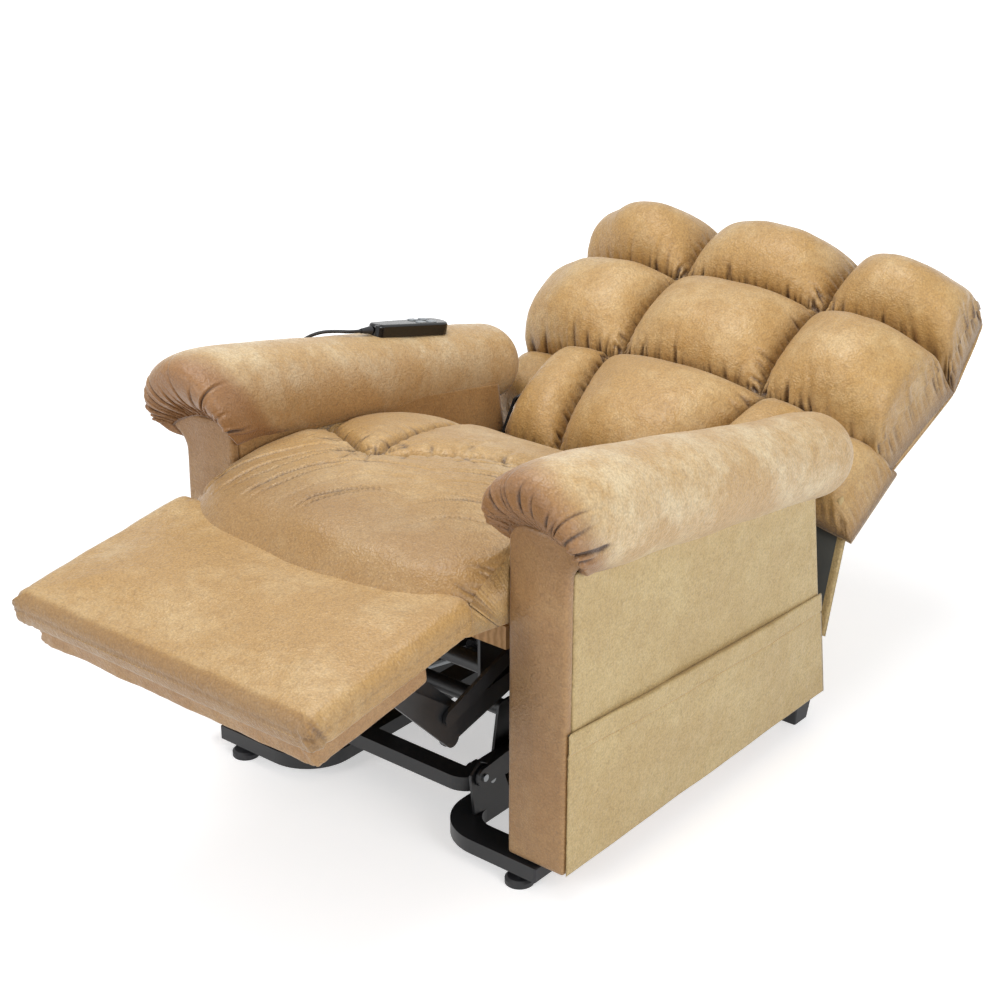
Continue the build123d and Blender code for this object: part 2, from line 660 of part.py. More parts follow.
# ---------------------------------------------------------------------- footrest
def make_footrest():
    fall = radians(footrest_slope)
    rest = Plane(origin=(0, *footrest_line), x_dir=(1, 0, 0), z_dir=(0, -sin(fall), cos(fall)))
    pad = extrude(RectangleRounded(2 * pad_half, pad_length - 2, 24), amount=pad_top - pad_low)
    pad = fillet(pad.faces().sort_by(Axis.Z)[-1].edges(), 18)
    add("footrest_pad", rest.location * Pos(0, -pad_length / 2 - 1, pad_low) * pad)

    long = board_front - board_rear
    board = extrude(RectangleRounded(2 * board_half, long, 10), amount=pad_low - board_low)
    board = chamfer(board.faces().sort_by(Axis.Z)[0].edges(), 3)
    add("footrest_board", rest.location * Pos(0, -board_rear - long / 2, board_low) * board)

    hole = pin_radius + running_gap
    arm = cam_link([foot_pivot, foot_knee, guide_pivot], link_width + 2, rear_link_x, [(foot_knee, hole)])
    guide_pin = bar_x(guide_pivot, pin_radius, guide_x - 2, rear_link_x)
    tube = bar_x(foot_pivot, torque_radius, 0, rear_link_x) - bar_x(foot_pivot, torque_radius - 3, 0, rear_link_x)
    weld = arm + guide_pin + tube
    weld += mirror(weld, about=Plane.YZ)
    turn = radians(foot_lever_turn)
    tip = (foot_pivot[0] + foot_lever_length * cos(turn), foot_pivot[1] + foot_lever_length * sin(turn))
    root = (foot_pivot[0] + (torque_radius - 1) * cos(turn), foot_pivot[1] + (torque_radius - 1) * sin(turn))
    for side in (-1, 1):
        x_low = foot_lane + (14 if side > 0 else -14 - link_thick)
        weld += link(root, tip, 26, x_low, [])
    weld += bar_x(tip, pin_radius, foot_lane - 14, foot_lane + 14)
    weld -= bar_x(foot_pivot, torque_radius - 3, -rear_link_x, rear_link_x)
    add("footrest_rear_links", weld)

    front = cam_link([foot_knee, foot_ankle, control_tip], link_width, front_link_x,
                     [(control_tip, pin_radius + open_gap)])
    knee_pin = bar_x(foot_knee, pin_radius, rear_link_x - pin_stub, front_link_x)
    ankle_pin = bar_x(foot_ankle, pin_radius, rear_link_x - pin_stub, front_link_x)
    add("footrest_front_links", *both(front + knee_pin + ankle_pin))

    control = link(control_pivot, control_tip, link_width - 2, control_x, [(control_pivot, hole)])
    control += bar_x(control_tip, pin_radius, front_link_x - 1, control_x)
    add("footrest_control_links", *both(control))

    guide = link(guide_pivot, guide_tip, link_width - 4, guide_x,
                 [(guide_pivot, hole), (guide_tip, pin_radius + open_gap)])
    add("footrest_guide_links", *both(guide))

    # brackets under the board, joined by an angle across it
    f_y, f_z = foot_ankle
    g_y, g_z = guide_tip

    def under(distance, depth):
        """A point below the pad's top plane, as (y, z)."""
        y, z = footrest_line
        return (y - distance * cos(fall) + depth * sin(fall), z - distance * sin(fall) - depth * cos(fall))

    deep = -board_low
    ear = Polygon(under(board_rear + 4, deep), under(board_rear + 150, deep), under(board_rear + 128, deep + 16),
                  (f_y - 15, f_z - 12), (f_y + 8, f_z - 17), (g_y + 16, g_z - 10), align=None)
    ear = fillet(ear.vertices(), 4) - Pos(*foot_ankle) * Circle(hole)
    bracket = yz_solid(ear, rear_link_x, rear_link_x + link_thick)
    bracket += bar_x(guide_tip, pin_radius, guide_x - 1, rear_link_x)
    brace = Polygon(under(board_rear + 96, deep), under(board_rear + 126, deep), under(board_rear + 126, deep + 3),
                    under(board_rear + 99, deep + 3), under(board_rear + 99, deep + 22),
                    under(board_rear + 96, deep + 22), align=None)
    add("footrest_brackets", *both(bracket), yz_solid(brace, -rear_link_x, rear_link_x))
    pivots.update(foot_swing=foot_pivot, foot_knee=foot_knee, foot_ankle=foot_ankle,
                  foot_control=control_pivot, foot_guide=guide_pivot, foot_lever=tip)
    return tip


# --------------------------------------------------------------------- actuators
def make_actuator(name, anchor, tip, lane, body_length, eye_gap, rod_start=90.0, side=1):
    """Motor housing with its spindle tube, and the push rod with its eye."""
    turn = atan2(tip[1] - anchor[1], tip[0] - anchor[0])
    reach = hypot(tip[0] - anchor[0], tip[1] - anchor[1])
    ahead = (0, cos(turn), sin(turn))
    line = Plane(origin=(lane, *anchor), x_dir=(1, 0, 0), z_dir=ahead)
    rod_radius, bore = 9.0, 9.0 + running_gap

    tube = Pos(0, 0, 60) * extrude(RectangleRounded(34, 34, 8), amount=body_length - 60)
    gear = Pos(0, 0, 22) * extrude(RectangleRounded(52, 46, 10), amount=62)
    gear = chamfer(gear.faces().sort_by(Axis.Z)[-1].edges(), 3)
    motor = Pos(0, side * 42, 26) * extrude(Circle(21), amount=96)
    web = Pos(0, side * 24, 26) * extrude(Rectangle(30, 24), amount=54)
    tail = Pos(0, 0, 0) * extrude(Rectangle(24, 26), amount=30)
    body = tube + gear + motor + web + tail
    body -= Pos(0, 0, 66) * extrude(Circle(bore), amount=body_length)
    body = line.location * body
    body -= bar_x(anchor, pin_radius + running_gap, lane - 40, lane + 40)
    add(name + "_motor", body)

    rod_length = reach - rod_start - eye_gap - pin_radius - 3
    rod = Pos(0, 0, rod_start) * extrude(Circle(rod_radius), amount=rod_length)
    eye = yz_solid(Pos(*tip) * Circle(eye_gap + pin_radius + 7), lane - 10, lane + 10)
    rod = line.location * rod + eye
    rod -= bar_x(tip, pin_radius + eye_gap, lane - 20, lane + 20)
    add(name + "_rod", rod)
    pivots[name + "_anchor"] = anchor
    pivots[name + "_tip"] = tip


def make_box():
    """Control box with its power inlet, on the inside of the right plate."""
    low = Pos(-plate_inner + 45, 470, 236) * Box(90, 130, 52)
    low = fillet(low.edges().filter_by(Axis.Y), 5)
    socket = Pos(-plate_inner + 45, 535, 236) * Box(30, 24, 22)
    add("control_box", low - socket)
    plug = Pos(-plate_inner + 45, 531, 236) * Box(30, 16, 22) - Pos(-plate_inner + 45, 535, 236) * Box(24, 16, 16)
    add("power_inlet", plug)


# ----------------------------------------------------------------------- handset
cord_route = [
    (-345, 372, 647), (-346, 349, 651), (-357, 327, 656), (-378, 309, 655), (-404, 298, 642), (-427, 291, 619),
    (-440, 287, 586), (-443, 284, 548), (-443, 283, 510), (-440, 283, 473), (-433, 284, 441), (-417, 285, 419),
    (-399, 285, 419),
]


def roll_top(y):
    """Height of the top of the roll's straight run at y, on its centre line."""
    share = (y - roll_front) / (roll_rear - roll_front)
    radius = roll_front_radius + (roll_rear_radius - roll_front_radius) * share
    return roll_axis(y) + (radius + 2.5) / cos_roll


def make_handset():
    fall = (roll_top(handset_y - 60) - roll_top(handset_y + 60)) / 120
    flat = Plane(origin=(-roll_x + 7, handset_y, roll_top(handset_y) + 1),
                 x_dir=(1, 0, 0), z_dir=(0, fall, 1))
    half = handset_length / 2
    tail_radius, head_radius = handset_wide / 2 - 7, handset_wide / 2
    ends = [Pos(0, -half + tail_radius) * Circle(tail_radius), Pos(0, half - head_radius) * Circle(head_radius)]
    outline = make_hull([edge for end in ends for edge in end.edges()])
    shell = extrude(outline, amount=handset_thick)
    shell = fillet(shell.faces().sort_by(Axis.Z)[-1].edges(), 5)
    keys = [(x, y) for x in (-9.5, 9.5) for y in (22.0, 50.0)]
    key = RectangleRounded(13, 20, 5)
    for x, y in keys:
        shell -= Pos(x, y, handset_thick - 6) * extrude(offset(key, 0.5), amount=8)
    add("handset_body", flat.location * shell)
    names = ("button_foot_down", "button_foot_up", "button_back_down", "button_back_up")
    for name, (x, y) in zip(names, keys):
        cap = extrude(key, amount=5.5)
        add(name, flat.location * Pos(x, y, handset_thick - 6 + button_travel + 0.5) * cap)
    print("button axis (down):", tuple(round(-v, 5) for v in tuple(flat.z_dir)))

    # strain reliefs at both ends, and the cord between them
    start, following = Vector(*cord_route[0]), Vector(*cord_route[1])
    end, before = Vector(*cord_route[-1]), Vector(*cord_route[-2])
    tail = Plane(origin=start, z_dir=(start - following).normalized())
    relief = loft([tail * Circle(4.2), tail.offset(24) * Circle(7)])
    relief -= parts["handset_body"]
    entry = Plane(origin=end, z_dir=(1, 0, 0))
    reach = -arm_outer - end.X
    grommet = loft([entry * Circle(4.2), entry.offset(reach) * Circle(9)])
    add("cord_reliefs", relief.solids().sort_by(Axis.Y)[0], grommet)

    points = [Vector(*point) for point in cord_route]
    radii = []
    for a, b, c in zip(points, points[1:], points[2:]):
        turn = radians((b - a).get_angle(c - b))
        shorter = min((b - a).length, (c - b).length)
        radii.append(0.45 * shorter / (sin(turn / 2) / cos(turn / 2)))
    path = FilletPolyline(*points, radius=radii)
    section = Plane(origin=path @ 0, z_dir=path % 0) * Circle(cord_diameter / 2)
    cord = sweep(section, path=path)
    add("handset_cord", cord)
    print("cord radii:", [round(r) for r in radii])
    print("cord length:", round(path.length, 1), "volume ratio:",
          round(cord.volume / (path.length * 3.14159265 * cord_diameter ** 2 / 4), 4))


# ------------------------------------------------------------------------ build
def main():
    make_base()
    make_lift()
    make_carriage()
    make_arms()
    make_back()
    foot_tip = make_footrest()
    make_actuator("lift", lift_anchor, lift_lever, lift_lane, 300.0, lift_eye_gap)
    make_actuator("recline", recline_anchor, back_point(*recline_lever), recline_lane, 320.0, recline_eye_gap)
    make_actuator("footrest", foot_anchor, foot_tip, foot_lane, 262.0, foot_eye_gap, rod_start=135.0, side=-1)
    make_box()
    make_handset()

    box = Compound([solid for shape in parts.values() for solid in shape.solids()]).bounding_box()
    middle = (box.min.Y + box.max.Y) / 2
    os.makedirs("parts", exist_ok=True)
    for name, shape in parts.items():
        export_step(Pos(0, -middle, 0) * shape, "parts/" + name + ".step")
    print("middle:", round(middle, 4), "size:", [round(v, 1) for v in tuple(box.size)], "nodes:", len(parts))
    for name, (y, z) in pivots.items():
        print("pivot", name, round(y - middle, 3), round(z, 3))


main()
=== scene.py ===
# %% [markdown]
# # A power lift recliner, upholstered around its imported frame
# The steel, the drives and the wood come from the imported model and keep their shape.
# What makes the chair soft, its gathered arm rolls, pillows, seat and footrest, is made
# here as cloth-covered forms, with a procedural finish on every surface.

# %% Load the frame
import json
import math

import bmesh
import bpy
import numpy as np
from mathutils import Matrix, Vector


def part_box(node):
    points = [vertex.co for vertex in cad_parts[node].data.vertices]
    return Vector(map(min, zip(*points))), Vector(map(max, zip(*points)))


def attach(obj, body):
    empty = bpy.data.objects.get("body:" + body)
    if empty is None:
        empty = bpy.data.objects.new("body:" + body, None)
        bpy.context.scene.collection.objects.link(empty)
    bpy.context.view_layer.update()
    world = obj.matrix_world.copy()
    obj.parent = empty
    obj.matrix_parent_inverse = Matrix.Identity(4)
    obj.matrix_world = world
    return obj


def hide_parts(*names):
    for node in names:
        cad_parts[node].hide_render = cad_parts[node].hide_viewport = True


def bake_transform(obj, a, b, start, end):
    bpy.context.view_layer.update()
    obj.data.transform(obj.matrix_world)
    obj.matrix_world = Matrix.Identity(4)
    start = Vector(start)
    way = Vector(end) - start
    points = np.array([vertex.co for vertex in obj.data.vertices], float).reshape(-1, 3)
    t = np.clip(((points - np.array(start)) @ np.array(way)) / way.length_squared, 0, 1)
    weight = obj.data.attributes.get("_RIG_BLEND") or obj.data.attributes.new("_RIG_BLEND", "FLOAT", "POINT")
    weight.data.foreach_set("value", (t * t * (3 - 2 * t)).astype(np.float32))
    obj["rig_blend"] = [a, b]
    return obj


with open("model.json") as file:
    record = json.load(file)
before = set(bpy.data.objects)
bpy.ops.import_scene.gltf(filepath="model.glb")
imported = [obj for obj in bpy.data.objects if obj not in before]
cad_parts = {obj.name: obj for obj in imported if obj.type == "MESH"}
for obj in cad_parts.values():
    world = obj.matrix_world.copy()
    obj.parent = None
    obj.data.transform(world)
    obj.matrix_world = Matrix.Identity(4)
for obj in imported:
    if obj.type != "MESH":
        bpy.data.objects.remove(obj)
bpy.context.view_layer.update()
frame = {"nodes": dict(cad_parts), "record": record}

# %% [markdown]
# ## Measures
# An upholsterer works in millimetres from the front edge of the arms, so the helpers do
# too: x from the middle of the chair, y back from the arm fronts, z up from the floor.
# One function turns such a point into the frame's metres.

# %% Millimetres to the frame
arm_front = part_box("left_front_panel")[0].y * 1000
arm_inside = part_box("arm_inner_panels")[1].x * 1000 - 38
arm_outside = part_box("left_outer_panel")[1].x * 1000


def to_frame(x, y, z):
    """Points given in chair millimetres, as an array of frame metres."""
    x, y, z = np.broadcast_arrays(np.asarray(x, float), y, z)
    return np.stack([x, y + arm_front, z], axis=-1) / 1000


print("arm front at", round(arm_front, 1), "mm; arms", round(arm_inside), "to", round(arm_outside), "mm")

# %% [markdown]
# ## Turning surfaces into meshes
# Each soft form is written as a surface with two directions, like warp and weft. A closed
# pad is two such surfaces, top and underside, that share their rim. Welding the rim gives
# one watertight skin, which is what a sewn cover is.

# %% Mesh helpers
def add_object(name, data):
    """An object of the scene that shows this mesh, curve, lamp or camera."""
    made = bpy.data.objects.new(name, data)
    bpy.context.scene.collection.objects.link(made)
    return made


def mark(mesh, name, values):
    """Store one number per point, for the finish to read."""
    field = mesh.attributes.new(name, "FLOAT", "POINT")
    field.data.foreach_set("value", np.asarray(values, np.float32).ravel())


def mesh_piece(name, points, faces, marks=None):
    """A smooth-shaded mesh object from points and faces; marks are numbers per point."""
    mesh = bpy.data.meshes.new(name)
    mesh.from_pydata(points.reshape(-1, 3).tolist(), [], faces)
    for key, values in (marks or {}).items():
        mark(mesh, key, values)
    body = bmesh.new()
    body.from_mesh(mesh)
    bmesh.ops.remove_doubles(body, verts=body.verts, dist=2e-5)
    bmesh.ops.dissolve_degenerate(body, edges=body.edges, dist=1e-6)
    bmesh.ops.recalc_face_normals(body, faces=body.faces)
    body.to_mesh(mesh)
    body.free()
    mesh.polygons.foreach_set("use_smooth", [True] * len(mesh.polygons))
    return add_object(name, mesh)


def weave_faces(rows, columns, start=0, ring=False):
    """Quads of a grid of points; a ring joins the last column to the first."""
    faces = []
    for i in range(rows - 1):
        for j in range(columns if ring else columns - 1):
            k = (j + 1) % columns
            a, b = start + i * columns + j, start + i * columns + k
            faces.append((a, b, b + columns, a + columns))
    return faces


def edge_of(grid):
    """True along the four edges of a grid."""
    edge = np.zeros(grid.shape[:2], bool)
    edge[[0, -1]] = True
    edge[:, [0, -1]] = True
    return edge


def closed_pad(name, top, underside, marks=None):
    """A closed skin from two grids of the same size; the underside takes the top's rim."""
    underside = np.where(edge_of(top)[..., None], top, underside)
    rows, columns = top.shape[:2]
    faces = weave_faces(rows, columns) + weave_faces(rows, columns, rows * columns)
    both_sides = {key: np.concatenate([np.ravel(v), 0 * np.ravel(v)])
                  for key, v in (marks or {}).items()}
    points = np.concatenate([top.reshape(-1, 3), underside.reshape(-1, 3)])
    return mesh_piece(name, points, faces, both_sides)


print("mesh helpers ready")

# %% [markdown]
# ## Seams, steps and ridges
# A seam is a line in space. The few points that a maker would mark on it are joined by a
# smooth curve and sampled evenly, which keeps the mesh even too. Soft steps and ridges
# shape what lies beside a seam; hard limits would show as kinks in the cover.

# %% Line and step helpers
def outward_normals(grid, away):
    """Unit normals of a grid of points, on the side that the vectors away point to."""
    across = np.cross(np.gradient(grid, axis=0), np.gradient(grid, axis=1))
    normal = across / np.maximum(np.linalg.norm(across, axis=-1, keepdims=True), 1e-12)
    return normal * np.sign((normal * away).sum(-1, keepdims=True) + 1e-9)


def walk(line):
    """Distance walked along a line at each of its points."""
    return np.concatenate([[0], np.cumsum(np.linalg.norm(np.diff(line, axis=0), axis=1))])


def points_at(line, walked, wanted):
    """Points of a line at the wanted distances along it."""
    return np.stack([np.interp(wanted, walked, line[:, k]) for k in range(line.shape[1])], -1)


def fair_curve(points, count):
    """A smooth curve through points, as a Catmull-Rom spline sampled evenly."""
    padded = np.vstack([2 * points[0] - points[1], points, 2 * points[-1] - points[-2]])
    samples = []
    for i in range(1, len(padded) - 2):
        p0, p1, p2, p3 = padded[i - 1:i + 3]
        for t in np.linspace(0, 1, 40, endpoint=False):
            samples.append(0.5 * (2 * p1 + (p2 - p0) * t + (2 * p0 - 5 * p1 + 4 * p2 - p3) * t ** 2
                                  + (3 * p1 - p0 - 3 * p2 + p3) * t ** 3))
    samples = np.array(samples + [padded[-2]])
    walked = walk(samples)
    return points_at(samples, walked, np.linspace(0, walked[-1], count))


def even_sine(count):
    """Values from -1 to 1 that crowd towards both ends, where a pillow curves most."""
    return np.sin(np.linspace(-1, 1, count) * math.pi / 2)


def smoothstep(value):
    """0 below 0, 1 above 1 and a soft S between them."""
    value = np.clip(value, 0, 1)
    return value * value * (3 - 2 * value)


def ridge(value, width):
    """1 where the value is 0, fading to nothing over about twice the width."""
    return np.exp(-(value / width) ** 2)


print("line helpers ready; a soft step stands at", round(smoothstep(0.25), 3), "a quarter of the way")

# %% [markdown]
# ## How gathered leathercloth folds
# Where a full cover is drawn into a shorter seam, it makes narrow valleys that start at
# the seam and fade out, with soft rolls between. Each valley has its own place, length,
# depth and slant, drawn from a seeded generator so that the chair is the same each time.

# %% Folds and slow unevenness
def gathers(along, away, seed, spacing, reach, depth, width, slant=0.25):
    """Depth in mm of folds that start at a seam: along it, and away from it, in mm."""
    draw = np.random.default_rng(seed)
    low, high = float(along.min()), float(along.max())
    count = max(3, int((high - low) / spacing))
    total = np.zeros_like(away)
    for number in range(count):
        place = low + (number + 0.5 + draw.uniform(-0.38, 0.38)) * (high - low) / count
        length = reach * draw.uniform(0.45, 1.25)
        drop = depth * draw.uniform(0.45, 1.25)
        wide = width * draw.uniform(0.7, 1.4)
        lean = draw.uniform(-slant, slant)
        curl = draw.uniform(-1, 1) * slant / reach
        fade = smoothstep(1 - away / length)
        valley = ridge(along - place - lean * away - curl * away ** 2, wide * (1 + 0.6 * away / reach))
        shoulder = ridge(along - place - 1.9 * wide - lean * away, 1.3 * wide)
        total += drop * fade * (valley - 0.35 * shoulder)
    return total


def unevenness(points, wave, seed, waves=9):
    """A slow, seeded ripple between about -1 and 1 over points in metres; wave in mm."""
    draw = np.random.default_rng(seed)
    total = np.zeros(points.shape[:-1])
    for _ in range(waves):
        heading = draw.normal(size=3)
        heading /= np.linalg.norm(heading)
        turns = 1000 / wave * draw.uniform(0.6, 1.5)
        total += np.sin(2 * math.pi * turns * (points @ heading) + draw.uniform(0, 6.28))
    return total / math.sqrt(waves) * 0.8


def near_line(points, line):
    """Distance from each point to a polyline, and how far along it, in the units given."""
    flat = points.reshape(-1, 3)
    best = np.full(len(flat), 1e9)
    travel = np.zeros(len(flat))
    for start, end, passed in zip(line[:-1], line[1:], walk(line)):
        run = end - start
        length = np.linalg.norm(run)
        share = np.clip((flat - start) @ run / length ** 2, 0, 1)
        gap = np.linalg.norm(flat - start - share[:, None] * run, axis=1)
        closer = gap < best
        best[closer] = gap[closer]
        travel[closer] = (passed + share * length)[closer]
    return best.reshape(points.shape[:-1]), travel.reshape(points.shape[:-1])


def positions(piece):
    """The vertices of a piece, as an array of frame metres."""
    spots = np.zeros(len(piece.data.vertices) * 3, np.float32)
    piece.data.vertices.foreach_get("co", spots)
    return spots.reshape(-1, 3).astype(float)


print("fold helpers ready")

# %% [markdown]
# ## Finishes
# Every finish is a tree of shader nodes. Numbers that are the same all over go straight on
# the shader's sockets, and only what varies over a surface gets nodes. Colours are written
# as they look on a screen and turned to the linear values that light adds up in.

# %% Node helper and colours
def linear(code):
    """A colour written as sRGB hex, as linear values for a shader."""
    parts = [int(code[i:i + 2], 16) / 255 for i in (1, 3, 5)]
    return [v / 12.92 if v <= 0.04045 else ((v + 0.055) / 1.055) ** 2.4 for v in parts] + [1.0]


def add_node(tree, kind, inputs=None, **settings):
    """Add a node; inputs maps a socket to a value or to another node's output."""
    made = tree.nodes.new("ShaderNode" + kind)
    for key, value in settings.items():
        setattr(made, key, value)
    for key, value in (inputs or {}).items():
        if isinstance(value, bpy.types.NodeSocket):
            tree.links.new(value, made.inputs[key])
        else:
            made.inputs[key].default_value = value
    return made


def new_finish(name):
    """An empty material with a Principled shader; returns it, its tree and the shader."""
    finish = bpy.data.materials.new(name)
    finish.use_nodes = True
    tree = finish.node_tree
    tree.nodes.clear()
    shader = add_node(tree, "BsdfPrincipled")
    add_node(tree, "OutputMaterial", {"Surface": shader.outputs["BSDF"]})
    return finish, tree, shader


print("mid grey in linear light:", round(linear("#808080")[0], 3))

# %% [markdown]
# The cover is a coated leathercloth: a knitted cloth with a printed and embossed skin. The
# emboss is a fine pebble, the print a soft mottle of two tans, and handling polishes the
# high places. An image could carry all this, but it would repeat and blur; noise and cells
# of known size stay sharp. Painted shade, dark in folds and brown on faces turned from the
# light, comes from numbers stored on the mesh.

# %% Leathercloth
blotch_size, mottle_size, crinkle_size = 120, 16, 9    # in mm, of the print and the emboss
crevice_shade = "#4a3320"                                    # the shade inside a fold or a pore


def leathercloth(name, tan, pale, brown, grain=3.1, gloss=0.40):
    """Embossed leathercloth. Grain is the pebble size in mm, drawn about three times
    coarser than a real one so that it shows at this distance."""
    finish, tree, shader = new_finish(name)
    place = add_node(tree, "TexCoord").outputs["Object"]
    prints = []
    for size, detail, rough, low, high in ((blotch_size, 7.0, 0.72, 0.45, 0.64),
                                           (mottle_size, 6.0, 0.75, 0.36, 0.68)):
        noise = add_node(tree, "TexNoise", {"Vector": place, "Scale": 1000 / size,
                                            "Detail": detail, "Roughness": rough})
        prints.append(add_node(tree, "MapRange", {"Value": noise.outputs[0],
                                                  "From Min": low, "From Max": high}).outputs[0])
    blotch, mottle = prints
    shade = add_node(tree, "Math", {0: mottle, 1: 0.3}, operation="MULTIPLY").outputs[0]
    # painted shade, stored on the mesh: brown where a face turns from the light, dark inside folds
    brown_shade = add_node(tree, "Attribute", attribute_name="brown_shade").outputs["Fac"]
    fold_shade = add_node(tree, "Attribute", attribute_name="fold_shade").outputs["Fac"]
    pebble = add_node(tree, "TexVoronoi", {"Vector": place, "Scale": 1000 / grain}, feature="SMOOTH_F1")
    pore = add_node(tree, "MapRange", {"Value": pebble.outputs["Distance"],
                                       "From Min": 0.2, "From Max": 0.75})
    hollow_shade = add_node(tree, "Math", {0: pore.outputs[0], 1: 0.3, 2: fold_shade}, operation="MULTIPLY_ADD")
    hollow_shade = add_node(tree, "Clamp", {"Value": hollow_shade.outputs[0]}).outputs[0]
    # the print first, then a painted brown shade where faces turn from the light, then the painted shade
    # inside folds and pores
    colour = linear(tan)
    for share, other in ((blotch, pale), (shade, brown), (brown_shade, brown), (hollow_shade, crevice_shade)):
        mixed = add_node(tree, "Mix", {0: share, 6: colour, 7: linear(other)}, data_type="RGBA")
        colour = mixed.outputs[2]
    tree.links.new(colour, shader.inputs["Base Color"])
    dulled = add_node(tree, "MapRange", {"Value": mottle,
                                         "To Min": gloss - 0.06, "To Max": gloss + 0.12})
    tree.links.new(dulled.outputs[0], shader.inputs["Roughness"])
    crinkle = add_node(tree, "TexNoise", {"Vector": place, "Scale": 1000 / crinkle_size, "Detail": 3.0})
    height = add_node(tree, "Math", {0: pebble.outputs["Distance"], 1: 0.6, 2: crinkle.outputs[0]},
                      operation="MULTIPLY_ADD")
    bump = add_node(tree, "Bump", {"Height": height.outputs[0], "Strength": 0.8, "Distance": 0.0017})
    tree.links.new(bump.outputs[0], shader.inputs["Normal"])
    shader.inputs["Sheen Weight"].default_value = 0.16
    shader.inputs["Sheen Roughness"].default_value = 0.45
    return finish


seat_hide = leathercloth("embossed_leathercloth_tan", "#bf985c", "#d2b27d", "#8f6a3d")
# painted light: a paler copy of the tan cover, for the lit tops of the arm rolls
arm_lit_hide = leathercloth("embossed_leathercloth_arm_painted_light", "#cba871", "#e5d0a6", "#94693f")
# painted shade: a browner copy of the panel cover, for the shaded fronts
front_shaded_hide = leathercloth("embossed_leathercloth_front_painted_shade", "#b28a58", "#bf9a67", "#8b6541", 3.0, 0.45)
side_hide = leathercloth("embossed_leathercloth_side", "#c4aa75", "#cfb884", "#a58a5a", 3.0, 0.5)
# painted shade: a darker copy of the panel cover, for the shaded insides of the arms
inner_shaded_hide = leathercloth("embossed_leathercloth_inside_painted_shade", "#a47c4a", "#b28a57", "#7d5a34", 3.0, 0.5)
print("leathercloths:", [hide.name for hide in (seat_hide, arm_lit_hide, front_shaded_hide, side_hide, inner_shaded_hide)])

# %% [markdown]
# Steel tube is blasted and powder coated: a baked plastic skin with a slight orange peel.
# Pins and rods are zinc plated, which is pale and faintly blue. The wood is sawn hardwood.
# Moulded plastics differ by gloss alone: feet are dull, the handset is polished.

# %% Hard finishes
def coated(name, colour, rough, peel, depth, metal=0.0, second=None):
    """A hard finish with a fine surface of the given peel size in mm."""
    finish, tree, shader = new_finish(name)
    place = add_node(tree, "TexCoord").outputs["Object"]
    grainy = add_node(tree, "TexNoise", {"Vector": place, "Scale": 1000 / peel, "Detail": 4.0})
    wear = add_node(tree, "TexNoise", {"Vector": place, "Scale": 1000 / 60, "Detail": 5.0})
    mixed = add_node(tree, "Mix", {0: wear.outputs[0], 6: linear(colour), 7: linear(second or colour)},
                     data_type="RGBA")
    tree.links.new(mixed.outputs[2], shader.inputs["Base Color"])
    shader.inputs["Metallic"].default_value = metal
    spread = add_node(tree, "MapRange", {"Value": wear.outputs[0],
                                         "To Min": rough - 0.08, "To Max": rough + 0.1})
    tree.links.new(spread.outputs[0], shader.inputs["Roughness"])
    bump = add_node(tree, "Bump", {"Height": grainy.outputs[0],
                                   "Strength": 0.25, "Distance": depth / 1000})
    tree.links.new(bump.outputs[0], shader.inputs["Normal"])
    return finish


def sawn_wood(name, early, late, ring=7.0):
    """Hardwood with straight grain along the chair; ring is the spacing in mm."""
    finish, tree, shader = new_finish(name)
    place = add_node(tree, "TexCoord").outputs["Object"]
    sway = add_node(tree, "Mapping", {"Vector": place, "Scale": (1.0, 0.12, 1.0)})
    bands = add_node(tree, "TexWave", {"Vector": sway.outputs[0], "Scale": 1000 / ring / 6,
                                       "Distortion": 5.0, "Detail": 3.0, "Detail Scale": 2.0})
    mixed = add_node(tree, "Mix", {0: bands.outputs["Fac"], 6: linear(early), 7: linear(late)},
                     data_type="RGBA")
    tree.links.new(mixed.outputs[2], shader.inputs["Base Color"])
    shader.inputs["Roughness"].default_value = 0.62
    bump = add_node(tree, "Bump", {"Height": bands.outputs["Fac"], "Strength": 0.2, "Distance": 0.0006})
    tree.links.new(bump.outputs[0], shader.inputs["Normal"])
    return finish


black_coat = coated("powder_coated_steel", "#131416", 0.36, 1.6, 0.12, second="#1d1e20")
zinc = coated("zinc_plated_steel", "#a9adb0", 0.3, 0.8, 0.05, metal=1.0, second="#8e9396")
dull_plastic = coated("moulded_polypropylene", "#17171a", 0.55, 0.9, 0.1, second="#202024")
gloss_plastic = coated("polished_abs", "#0b0b0c", 0.16, 3.0, 0.02, second="#101012")
key_rubber = coated("silicone_rubber_keys", "#8f9497", 0.5, 0.7, 0.06, second="#a3a8ab")
cord_rubber = coated("cord_sheath_pvc", "#0f0f10", 0.45, 0.6, 0.05, second="#171718")
lining_cloth = coated("grey_lining_cloth", "#4d4f4c", 0.9, 1.4, 0.5, second="#5e605b")
hardwood = sawn_wood("sawn_hardwood", "#c39a68", "#a67c4c")
finishes = {
    "upholstery": seat_hide, "panel_upholstery": side_hide, "black_steel": black_coat, "zinc": zinc,
    "hardwood": hardwood, "black_plastic": dull_plastic, "handset_plastic": gloss_plastic,
    "button_rubber": key_rubber, "cord_sheath": cord_rubber,
}
for part in frame["record"]["subparts"]:
    cad_mesh = frame["nodes"][part["node"]].data
    cad_mesh.materials.clear()
    cad_mesh.materials.append(finishes[part["material_slot"]])


def finish_piece(piece, finish, body, slot, *nodes, fill=None):
    """Give a piece its finish, the body it rides on and the nodes it stands for."""
    piece.data.materials.append(finish)
    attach(piece, body)
    if nodes:
        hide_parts(*nodes)
    return piece

# %% [markdown]
# ## The arm rolls
# A roll is a fat sleeve of fibre over a foam core. Its front bulb overhangs the front
# panel, and the sleeve is gathered hard into the arched seam on top of that panel. A turned
# form with its front pushed in would smear the gathers, so the surface is laid along
# threads, which leave the seam, turn over the bulb and run back into the roll.

